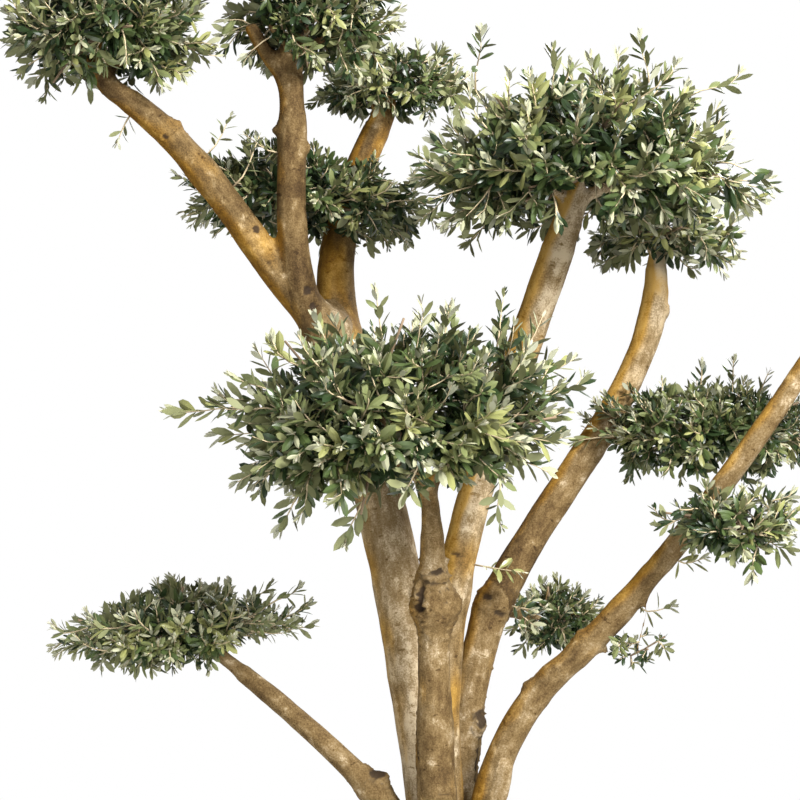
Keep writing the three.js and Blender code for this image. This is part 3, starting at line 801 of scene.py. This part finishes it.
def build_wood(name, strands, nodes, bark):
    mesh, places, edges = wood_mesh(list(strands.values()))
    lie = lie_on(list(strands.values()), places)
    local = lie.local + lie.strand[:, None] * LIMB_SHIFT
    raised, dark = mark_shapes(places, strands)
    swollen = lie.radius * (bark_noise(FLUTES, local) + bark_noise(LUMPS, places))
    plates = bark_noise(PLATES, local)
    plate_height = PLATE_HEIGHT * MM * (1 + FOOT_ROUGH * (1 - smoothstep(*metres(FOOT_HEIGHT), places[:, 2])))
    places += lie.outward * (swollen + plate_height * plates + raised)[:, None]
    places[:, 2] = np.maximum(places[:, 2], 0)
    mesh.vertices.foreach_set("co", places.astype(np.float32).ravel())
    colour_bark(mesh, places, edges, lie, local, plates, dark)

    mesh.update()
    mesh.shade_smooth()
    mesh.materials.append(bark)
    piece = add_object(name, mesh)
    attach(piece, "root")
    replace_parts(piece, *nodes)


def stretches(cloud, ways):
    """The cloud's half sizes for some directions, along each axis."""
    half = metres(cloud.half)
    return np.where(ways > 0, half[[0, 1, 2]], half[[0, 1, 3]])


def outness(cloud, places):
    """How far out places are in a cloud, from 0 in its middle to 1 on its clipped surface."""
    offset = places - metres(cloud.middle)
    return np.linalg.norm(offset / stretches(cloud, offset), axis=-1)


def place_in(cloud, ways, out):
    """Places in a cloud: directions as in a round ball, and how far out towards the clipped surface."""
    return metres(cloud.middle) + np.asarray(out)[..., None] * ways * stretches(cloud, ways)


def skin_area(cloud):
    """About the area of a cloud's clipped surface, by a rule of thumb for ellipsoids."""
    half = metres(cloud.half)
    power = 1.6075
    wide, deep, tall = half[0] ** power, half[1] ** power, ((half[2] + half[3]) / 2) ** power
    return 4 * math.pi * ((wide * deep + wide * tall + deep * tall) / 3) ** (1 / power)


def square_to(way, roll):
    """A direction square to a way, rolled about it."""
    guide = UP if abs(way[2]) < UPRIGHT else np.array([0.0, 1.0, 0.0])
    return turned(unit(np.cross(guide, way)), way, roll)


def clear_of_wood(places, limbs):
    """Which places keep clear of all limbs."""
    clear = np.ones(len(places), bool)
    for limb in limbs:
        clear &= np.all(distances(places, limb.path) > limb.radii + CLEAR * MM, axis=1)
    return clear


def is_free(node, places, limbs):
    """Which places a cloud's twigs may take: in reach, above ground, clear of wood and of other clouds."""
    cloud = CLOUDS[node]
    own = outness(cloud, places)
    free = (own <= REACH) & (places[:, 2] > 0) & clear_of_wood(places, limbs)
    for other in CLOUDS:
        if other != node:
            free &= outness(CLOUDS[other], places) > own + APART
    return free


def rule_twigs(node, limbs):
    """The source's twigs: main ones in a golden spiral round the hub, each forking towards the surface."""
    index, cloud = list(CLOUDS).index(node), CLOUDS[node]
    random = random_from(SEED + index)
    if cloud.core:
        for _ in range(CORE_DRAWS):
            random()
    hub = metres(cloud.middle)
    mains, sides, drawn = [], [], 0
    for i in range(cloud.twigs):
        rise = lerp(1, FOOT_CONE, (i + 0.5) / cloud.twigs) + JITTER * (random() - 0.5)
        turn = i * GOLDEN_ANGLE + index + 2 * JITTER * (random() - 0.5)
        flat = math.sqrt(max(0, 1 - rise * rise))
        main = unit(np.array([flat * math.cos(turn), flat * math.sin(turn), rise]))
        fork = place_in(cloud, main, FORK_AT)
        axis = square_to(main, random() * math.pi)
        forked = False
        for j in range(FORKS):
            out = turned(main, axis, lerp(-FORK_SPREAD, FORK_SPREAD, j / (FORKS - 1)))
            sprig = drawn % SPRIG_EVERY == 1
            tip = place_in(cloud, out, SPRIG_END if sprig else TWIG_END)
            for _ in range(SPRIG_DRAWS if sprig else TWIG_DRAWS):
                random()
            drawn += 1
            if is_free(node, lerp(fork, tip, TESTED), limbs).all():
                sides.append((fork, tip))
                forked = True
        if forked:
            mains.append((hub, fork))
    return np.array(mains), np.array(sides)


def fullness(cloud, ways):
    """How much further out than a ball a cloud's surface is in some directions."""
    full, low = cloud.under
    power = lerp(full, FULL_ABOVE, smoothstep(*FULL_RISE, ways[:, 2]))
    hang = lerp(low, 1, smoothstep(*HANG_RISE, ways[:, 2]))
    return hang * np.sum(np.abs(ways) ** power[:, None], axis=1) ** (-1 / power)


def in_window(node, places):
    """Which places lie in the openings in front of a cloud's middle."""
    cut = np.zeros(len(places), bool)
    for x, height, radius in WINDOWS.get(node, []):
        cut |= np.hypot(places[:, 0] - x * MM, places[:, 2] - height * MM) < radius * MM
    return cut & (places[:, 1] < CLOUDS[node].middle[1] * MM)


def of_kind(field, kinds):
    """A field of each shoot's kind."""
    return np.array([getattr(kind, field) for kind in KINDS])[kinds]


def shoot_ends(node, foot, rng):
    """Where a cloud's shoots end, and their kinds. Foot is where the cloud starts on its bough."""
    index, cloud = list(CLOUDS).index(node), CLOUDS[node]
    middle = metres(cloud.middle)
    count = round(SHOOTS_PER_M2 * skin_area(cloud) * cloud.dense / cloud.leaf**2)
    order = rng.permutation(count) + 0.5
    rise = lerp(1, FOOT_CONE, order / count)
    turn = order * GOLDEN_ANGLE + index
    flat = np.sqrt(1 - rise**2)
    even = np.stack([flat * np.cos(turn), flat * np.sin(turn), rise], axis=1)
    ways = unit(even + rng.normal(0, WAY_STRAY, (count, 3)))
    kinds = rng.choice(len(KINDS), count, p=[kind.share for kind in KINDS])
    near, far = of_kind("out", kinds).T
    lumps = 1 + CLOUD_LUMP * noise_at(ways + CLOUD_SHIFT * index, CLOUD_LUMP_SIZE)
    out = lerp(near, far, rng.random(count)) * fullness(cloud, ways) * lumps * TRIM.get(node, 1)
    grown = (rise > BARE_BELOW) | (rng.random(count) > BARE_SHARE)
    if cloud.side is None:
        grown &= (rise > 0) | (unit(ways * stretches(cloud, ways)) @ unit(foot - middle) < BARE_CONE)
    sprigs = metres(SPRIG_TIPS.get(node, [])).reshape(-1, 3)
    ends = place_in(cloud, ways, out)[grown]
    ends[:, 2] += TILT.get(node, 0) * (ends[:, 0] - middle[0])
    ends = np.concatenate([ends, sprigs])
    kinds = np.concatenate([kinds[grown], np.full(len(sprigs), LONG)])
    low, high = np.array(cad_box)
    inside = np.all((ends > low) & (ends < high), axis=1) & ~in_window(node, ends)
    return ends[inside], kinds[inside]


def shoot_ways(cloud, ends, kinds, rng):
    """The ways that shoots grow at their ends: out of the cloud, and up."""
    offset = ends - metres(cloud.middle)
    normals = unit(offset / stretches(cloud, offset) ** 2)
    normals[:, 2] = np.maximum(normals[:, 2], of_kind("hang", kinds))
    lift = UPWARD * smoothstep(*UPWARD_RISE, normals[:, 2])[:, None]
    return unit(OUTWARD * normals + lift * UP + rng.normal(0, GROW_STRAY, ends.shape))


def grow_shoots(node, foot, lines, rng):
    """Handles of the curves of a cloud's shoots, how far out they end and their kinds. Each starts on the
    nearest line further in, older shoots included."""
    cloud = CLOUDS[node]
    ends, kinds = shoot_ends(node, foot, rng)
    outs = outness(cloud, ends)
    old = np.concatenate(lines)
    total = len(old) + len(ends) * len(SHOOT_SPOTS)
    spots, headings, depths = np.empty((total, 3)), np.empty((total, 3)), np.empty(total)
    filled = len(old)
    spots[:filled] = old
    headings[:filled] = np.concatenate([unit(np.gradient(line, axis=0)) for line in lines])
    depths[:filled] = outness(cloud, old)
    handles = np.empty((len(ends), 4, 3))
    limits = outs - of_kind("inward", kinds)
    for i, (end, limit, way) in enumerate(zip(ends, limits, shoot_ways(cloud, ends, kinds, rng))):
        gaps = np.linalg.norm(spots[:filled] - end, axis=1)
        gaps[depths[:filled] > limit] += TOO_FAR_OUT
        nearest = gaps.argmin()
        start = spots[nearest]
        span = np.linalg.norm(end - start)
        lead = unit(headings[nearest] + unit(end - start))
        handles[i] = start, start + SHOOT_LEAD * span * lead, end - SHOOT_ARRIVE * span * way, end
        fresh = slice(filled, filled + len(SHOOT_SPOTS))
        spots[fresh], headings[fresh] = curve_at(handles[i], SHOOT_SPOTS)
        depths[fresh] = outness(cloud, spots[fresh])
        filled = fresh.stop
    return handles, outs, kinds


# Leaves as columns: where they are rooted, the way they point, where their upper side faces, how long they
# are, their pair counted from the tip and their shoot
Leaves = namedtuple("Leaves", "roots ways faces lengths pairs shoots")


def spray_leaves(handles, spacing, size, spread, rng):
    """The leaves of shoots, in crossed pairs down from each tip."""
    count, pairs = len(handles), len(PAIR_AT)
    length = np.linalg.norm(np.diff(handles, axis=1), axis=2).sum(axis=1)[:, None]
    at = PAIR_AT * MM * (spacing * rng.uniform(*PAIR_SPACE, count))[:, None]
    shares = np.clip(1 - at / length, 0, 1)[..., None]
    places, along = curve_at(np.moveaxis(handles, 1, 0)[:, :, None], shares)
    side = unit(np.cross(along, unit(rng.normal(0, 1, (count, 1, 3)))))
    side = turned(side, along, np.arange(pairs) * math.pi / 2 + rng.normal(0, PAIR_TWIST, (count, pairs)))
    long = PAIR_LONG * MM * (size * rng.uniform(*PAIR_SIZE, count))[:, None]
    shoot, pair = np.meshgrid(np.arange(count), np.arange(pairs), indexing="ij")
    hands = []
    for hand in (1, -1):
        angle = (PAIR_SPREAD * spread[:, None] + rng.normal(0, PAIR_STRAY, (count, pairs)))[..., None]
        ways = np.cos(angle) * along + hand * np.sin(angle) * side
        faces = along + SKYWARD * UP + rng.normal(0, LEAF_ROLL, (count, pairs, 3))
        faces = unit(faces - np.sum(faces * ways, axis=2, keepdims=True) * ways)
        kept = (at < LAST_PAIR * length) & (rng.random((count, pairs)) > LEAF_LOST)
        lengths = long * rng.uniform(*LEAF_LONG, (count, pairs))
        hands.append([column[kept] for column in (places, ways, faces, lengths, pair, shoot)])
    return Leaves(*[np.concatenate(columns) for columns in zip(*hands)])


def leaf_corners(leaves, rng):
    """Corners of the leaves as an array of leaf, corner and axis."""
    across, along, up = BLADE.T
    count = len(leaves.roots)
    slim = rng.uniform(*LEAF_SLIM, count)[:, None] / 2
    bend = rng.uniform(*LEAF_BEND, count)[:, None]
    ways, faces = leaves.ways[:, None], leaves.faces[:, None]
    rise = (up - bend * along**2)[..., None]
    offset = along[:, None] * ways + (across * slim)[..., None] * np.cross(ways, faces) + rise * faces
    return leaves.roots[:, None] + leaves.lengths[:, None, None] * offset


def leaf_slots(leaves, fresh, dark, rng):
    """The colours of the leaves' upper sides and undersides, dealt out by shoot. Fresh is each shoot's
    chance of young leaves, and dark says which shoots have only dark ones."""
    tops = len(LEAF_TOPS)
    is_fresh = rng.random(len(fresh)) < fresh
    fresh_shade = rng.choice(tops, len(fresh), p=DEAL_FRESH)
    old_shade = rng.choice(tops, len(fresh), p=DEAL_OLD)
    shade = np.where(is_fresh, fresh_shade, old_shade)
    shade[dark] = LEAF_SLOTS["leaf_dark"]
    young = is_fresh[leaves.shoots] & (leaves.pairs < YOUNG_PAIRS)
    young_top = np.where(leaves.pairs == 0, LEAF_SLOTS["leaf_bud"], LEAF_SLOTS["leaf_young"])
    old_under = np.where(dark[leaves.shoots], LEAF_SLOTS["leaf_green"], LEAF_SLOTS["leaf_under"])
    upper = np.where(young, young_top, shade[leaves.shoots])
    return upper, np.where(young, LEAF_SLOTS["leaf_young_under"], old_under)


def build_leaves(name, leaves, fresh, dark, materials, rng):
    corners = leaf_corners(leaves, rng)
    upper, under = leaf_slots(leaves, fresh, dark, rng)
    count, corner_count = corners.shape[:2]
    starts = np.arange(count)[:, None, None] * corner_count
    triangles = np.concatenate([BLADE_TOP + starts, BLADE_UNDER + starts], axis=1).reshape(-1, 3)
    slots = np.concatenate([np.repeat(upper[:, None], len(BLADE_TOP), axis=1),
                            np.repeat(under[:, None], len(BLADE_UNDER), axis=1)], axis=1).ravel()
    piece = new_piece(name, corners.reshape(-1, 3), triangles, materials, slots)
    edges = np.sort(edges_of(piece.data) % corner_count, axis=1)
    is_sharp = np.zeros(len(edges), bool)
    for low, high in BLADE_SHARP:
        is_sharp |= (edges[:, 0] == low) & (edges[:, 1] == high)
    sharp = piece.data.attributes.new("sharp_edge", "BOOLEAN", "EDGE")
    sharp.data.foreach_set("value", is_sharp)
    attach(piece, "root")
    return piece


def curve_tubes(handles, foot, tip, rings, sides):
    """Tubes along many curves at once, with their diameters at foot and tip in millimetres."""
    shares = np.linspace(0, 1, rings)[:, None]
    path, ways = curve_at(np.moveaxis(handles, 1, 0)[:, :, None], shares)
    guide = np.where(np.abs(ways[:, :1, 2:]) < UPRIGHT, UP, VIEWER)
    across = unit(np.cross(ways, guide))
    radii = lerp(foot, tip, shares[:, 0]) / 2 * MM
    return tubes(rings_round(path, radii, np.cross(ways, across), across, sides))


def shoot_tubes(handles):
    return curve_tubes(handles, SHOOT_FOOT, SHOOT_TIP, SHOOT_RINGS, SHOOT_SIDES)


def straight_handles(lines):
    """Handles of straight curves, from lines with a start and an end."""
    start, end = lines[:, 0], lines[:, 1]
    return np.stack([start, lerp(start, end, 1 / 3), lerp(start, end, 2 / 3), end], axis=1)


def arm_strands(node, stem, sides):
    """Branches that a bough divides into, from its tip towards some of the cloud's twigs."""
    if CLOUDS[node].side is not None:
        return []
    foot, thick = stem.path[0] / MM, 2 * stem.radii[0] / MM * ARM_SHARE

    def radius(shares, _):
        return lerp(thick, TWIG_TIP, shares) / 2 * MM

    arms = []
    for _, tip in sides[:: max(1, len(sides) // ARMS)]:
        bend = foot + stem.ways[0] * ARM_BEND * np.linalg.norm(tip / MM - foot)
        name = f"{node}_arm_{len(arms)}"
        arms.append(strand_of(name, [foot, bend, tip / MM], radius, stem.ochre, stem.tone))
    return arms


def start_lines(cloud, twigs, strands, limbs):
    """The lines in a cloud that its shoots may start on."""
    lines = [strand.path[len(strand.path) // 3:] for strand in strands]
    lines += [limb.path[outness(cloud, limb.path) < 1] for limb in limbs]
    lines = [line for line in lines if len(line) > 2]
    return lines + [lerp(start, end, np.linspace(0, 1, TWIG_SPOTS)[:, None]) for start, end in twigs]


def build_cloud(node, twigs, strands, limbs, materials):
    """Leaves of one cloud as a piece. Returns the corners and triangles of its twigs and of its shoots."""
    index, cloud = list(CLOUDS).index(node), CLOUDS[node]
    rng = np.random.default_rng(SEED + index)
    mains, sides = twigs
    lines = start_lines(cloud, [*mains, *sides], strands, limbs)
    handles, outs, kinds = grow_shoots(node, strands[0].path[0], lines, rng)
    spacing, size, spread = [of_kind(field, kinds) for field in ("spacing", "size", "spread")]
    leaves = spray_leaves(handles, cloud.leaf * spacing, cloud.leaf * size, spread, rng)
    blades = leaves.roots + LEAF_MIDDLE * leaves.lengths[:, None] * leaves.ways
    clear = clear_of_wood(blades, limbs) & ~in_window(node, blades)
    leaves = Leaves(*[column[clear] for column in leaves])
    fresh = np.where(kinds == LONG, lerp(cloud.fresh, 1, YOUNG_LONG), cloud.fresh)
    fresh *= smoothstep(*YOUNG_OUT, outs)
    name = "leaf_" + node.removeprefix("leaves_")
    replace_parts(build_leaves(name, leaves, fresh, kinds == INNER, materials, rng), node)
    foot, fork = np.array([TWIG_FOOT, TWIG_TIP]) * (1 if cloud.core else OPEN_TWIGS)
    thick = [curve_tubes(straight_handles(mains), foot, fork, TWIG_RINGS, TWIG_SIDES),
             curve_tubes(straight_handles(sides), fork, SHOOT_FOOT, TWIG_RINGS, TWIG_SIDES)]
    return thick, shoot_tubes(handles)


def build_sprouts(strands, materials):
    """Small sprigs straight out of the bark. Returns the corners and triangles of their shoots."""
    rng = np.random.default_rng(SEED)
    handles = []
    for strand, sprout in [(strands[limb], sprout) for limb in SPROUTS for sprout in SPROUTS[limb]]:
        share, turn, length, rise = sprout
        place, out, _ = on_bark(strand, share, turn)
        foot = place - SPROUT_SUNK * MM * out
        tip = foot + length * MM * unit(out + rise * UP)
        handles.append((foot, foot + SPROUT_LEAD * length * MM * out, lerp(foot, tip, SPROUT_ARRIVE), tip))
    handles = np.array(handles)
    ones = np.ones(len(handles))
    leaves = spray_leaves(handles, ones, SPROUT_LEAF * ones, ones, rng)
    build_leaves("leaf_sprouts", leaves, ones, ones == 0, materials, rng)
    return shoot_tubes(handles)


def new_material(name):
    material = bpy.data.materials.new(name)
    material.use_nodes = True
    return material, material.node_tree, material.node_tree.nodes["Principled BSDF"]


def plain_material(name, colour, roughness, gloss=0.5):
    material, _, shader = new_material(name)
    shader.inputs["Base Color"].default_value = (*colour, 1)
    shader.inputs["Roughness"].default_value = roughness
    shader.inputs["Specular IOR Level"].default_value = gloss
    return material


def add_node(tree, kind, inputs, **settings):
    """A node with its settings, and its inputs by name or number, linked where they are sockets."""
    made = tree.nodes.new(kind)
    for name, value in settings.items():
        setattr(made, name, value)
    for key, value in inputs.items():
        if isinstance(value, bpy.types.NodeSocket):
            tree.links.new(value, made.inputs[key])
        else:
            made.inputs[key].default_value = value
    return made


def mixed(tree, factor, first, second):
    made = add_node(tree, "ShaderNodeMix", {0: factor, 6: first, 7: second}, data_type="RGBA")
    return made.outputs[2]


def speckle(tree, place, kind):
    inputs = {"Vector": place, "Scale": kind.scale, "Detail": kind.detail, "Roughness": kind.roughness}
    return add_node(tree, "ShaderNodeTexNoise", inputs).outputs[0]


def stretched(tree, place, factors):
    return add_node(tree, "ShaderNodeVectorMath", {0: place, 1: factors}, operation="MULTIPLY").outputs[0]


def ramp(tree, value, stops):
    made = add_node(tree, "ShaderNodeValToRGB", {0: value})
    while len(made.color_ramp.elements) < len(stops):
        made.color_ramp.elements.new(0.5)
    for element, (at, colour) in zip(made.color_ramp.elements, stops):
        element.position = at
        element.color = (*colour, 1)
    return made.outputs[0]


def math_node(tree, operation, first, second, third=0.0):
    return add_node(tree, "ShaderNodeMath", {0: first, 1: second, 2: third}, operation=operation).outputs[0]


def value_of(tree, name, output="Fac"):
    return add_node(tree, "ShaderNodeAttribute", {}, attribute_name=name).outputs[output]


def stepped(tree, value, step):
    low, high = step
    made = add_node(tree, "ShaderNodeMapRange", {0: value, 1: low, 2: high}, interpolation_type="SMOOTHSTEP")
    return made.outputs[0]


def bark_material():
    material, tree, shader = new_material("bark")
    place = add_node(tree, "ShaderNodeTexCoord", {}).outputs["Object"]
    grain = value_of(tree, "grain", "Vector")
    streak = speckle(tree, stretched(tree, grain, STREAK_LONG), STREAK)
    mottle = speckle(tree, place, MOTTLE)
    uneven = -(STREAK.strength + MOTTLE.strength + FINE.strength) / 2
    for value, kind in ((streak, STREAK), (mottle, MOTTLE), (speckle(tree, place, FINE), FINE)):
        uneven = math_node(tree, "MULTIPLY_ADD", value, kind.strength, uneven)
    flecks = stepped(tree, speckle(tree, stretched(tree, grain, FLECK_SHORT), FLECKS), FLECK_STEP)
    lichen = stepped(tree, speckle(tree, place, LICHEN), LICHEN_STEP)
    # The tone attribute carries painted light and shade besides the bark's own tone
    shade = math_node(tree, "ADD", value_of(tree, "tone"), uneven)
    shade = math_node(tree, "MULTIPLY_ADD", lichen, LICHEN.strength, shade)
    shade = math_node(tree, "MULTIPLY_ADD", flecks, FLECKS.strength, shade)

    ochre = math_node(tree, "MULTIPLY_ADD", uneven, OCHRE_UNEVEN, value_of(tree, "ochre"))
    ochre = math_node(tree, "MULTIPLY", stepped(tree, ochre, OCHRE_STEP), OCHRE_MOST)
    # The marks' darkness and the painted shade of creases and seams, mixed towards the dark hollow colour
    hollow = math_node(tree, "MULTIPLY_ADD", uneven, HOLLOW_UNEVEN, value_of(tree, "dark"))
    hollow = math_node(tree, "MULTIPLY", stepped(tree, hollow, HOLLOW_STEP), HOLLOW_MOST)
    colour = mixed(tree, ochre, ramp(tree, shade, BARK_TONES), ramp(tree, shade, OCHRE_TONES))
    tree.links.new(mixed(tree, hollow, colour, (*BARK_SCAR_AND_SHADE, 1)), shader.inputs["Base Color"])
    low, high = BARK_ROUGHNESS
    rough = add_node(tree, "ShaderNodeMapRange", {0: mottle, 3: low, 4: high}).outputs[0]
    tree.links.new(rough, shader.inputs["Roughness"])
    shader.inputs["Specular IOR Level"].default_value = BARK_GLOSS
    relief = {"Strength": BUMP, "Distance": BUMP_HEIGHT * MM, "Height": uneven}
    bump = add_node(tree, "ShaderNodeBump", relief)
    tree.links.new(bump.outputs[0], shader.inputs["Normal"])
    return material


def leaf_materials():
    materials = []
    for colours, roughness in ((LEAF_TOPS, LEAF_TOP_ROUGHNESS), (LEAF_PALES, LEAF_PALE_ROUGHNESS)):
        materials += [plain_material(name, colour, roughness, LEAF_GLOSS) for name, colour in colours.items()]
    return materials


def build_tree():
    limbs = {name: limb_strand(name) for name in LIMBS}
    twigs = {node: rule_twigs(node, limbs.values()) for node in CLOUDS}
    inner = {}
    for node in CLOUDS:
        stem = stem_strand(node, limbs)
        inner[node] = [stem, *arm_strands(node, stem, twigs[node][1])]
    bark = bark_material()
    front = set(LIMBS) - set(WOOD_BACK)
    for name, trunk, members in (("wood_back", [], WOOD_BACK), ("wood_front", [trunk_strand()], front)):
        own = trunk + [limbs[limb] for limb in LIMBS if limb in members]
        own += [strand for node in CLOUDS if CLOUDS[node].bough in members for strand in inner[node]]
        nodes = [strand.name for strand in own if strand.name == "trunk" or strand.name in LIMBS]
        build_wood(name, {strand.name: strand for strand in own}, nodes, bark)

    materials = leaf_materials()
    thick, thin = [], []
    for node in CLOUDS:
        thick_twigs, thin_twigs = build_cloud(node, twigs[node], inner[node], limbs.values(), materials)
        thick += thick_twigs
        thin.append(thin_twigs)
    thin.append(build_sprouts(limbs, materials))
    old = plain_material("twig_old", TWIG_OLD, TWIG_OLD_ROUGHNESS)
    young = plain_material("twig_young", TWIG_YOUNG, TWIG_YOUNG_ROUGHNESS)
    for name, parts, material in (("twigs", thick, old), ("shoots", thin, young)):
        piece = new_piece(name, *joined(parts), [material])
        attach(piece, "root")


def build_floor():
    angles = ring_angles(FLOOR_SIDES)
    radii = np.linspace(FLOOR_HOLE, FLOOR_RADIUS, FLOOR_RINGS)[:, None]
    places = np.stack([radii * np.cos(angles), radii * np.sin(angles), 0 * radii * angles], axis=2)
    corners, triangles = tubes(places[None])
    walls = triangles[: 2 * (FLOOR_RINGS - 1) * FLOOR_SIDES]  # without the ends of the tube
    floor = new_piece("floor", corners, walls, [plain_material("floor", FLOOR_COLOUR, FLOOR_ROUGHNESS)])


def add_light(name, place, size, power):
    light = bpy.data.lights.new(name, "AREA")
    light.shape = "DISK"
    light.size = size
    light.energy = power
    lamp = add_object(name, light)
    lamp.location = place
    lamp.rotation_euler = (Vector(LIGHT_AIM) - Vector(place)).to_track_quat("-Z", "Y").to_euler()


def white_studio():
    """A white backdrop that lights the tree less than it shines, and mostly from above."""
    world = bpy.data.worlds.new("studio")
    world.use_nodes = True
    tree = world.node_tree
    seen = add_node(tree, "ShaderNodeLightPath", {}).outputs["Is Camera Ray"]
    way = add_node(tree, "ShaderNodeTexCoord", {}).outputs["Generated"]
    rise = add_node(tree, "ShaderNodeSeparateXYZ", {0: way}).outputs[2]
    low, high = SKY_LIGHT
    sky = add_node(tree, "ShaderNodeMapRange", {0: rise, 1: SKY_FROM, 2: 1, 3: low, 4: high}).outputs[0]
    strength = add_node(tree, "ShaderNodeMapRange", {0: seen, 3: sky, 4: 1.0}).outputs[0]
    background = tree.nodes["Background"]
    background.inputs["Color"].default_value = (1, 1, 1, 1)
    tree.links.new(strength, background.inputs["Strength"])
    return world


def build_studio():
    scene = bpy.context.scene
    scene.view_settings.view_transform = "Standard"
    scene.world = white_studio()
    for name, (place, size, power) in LIGHTS.items():
        add_light(name, place, size, power)
    camera = add_object("camera", bpy.data.cameras.new("camera"))
    camera.data.lens = CAMERA_LENS
    camera.location = CAMERA_AT
    camera.rotation_euler = (math.pi / 2, 0, 0)
    scene.camera = camera


build_studio()
build_floor()
build_tree()
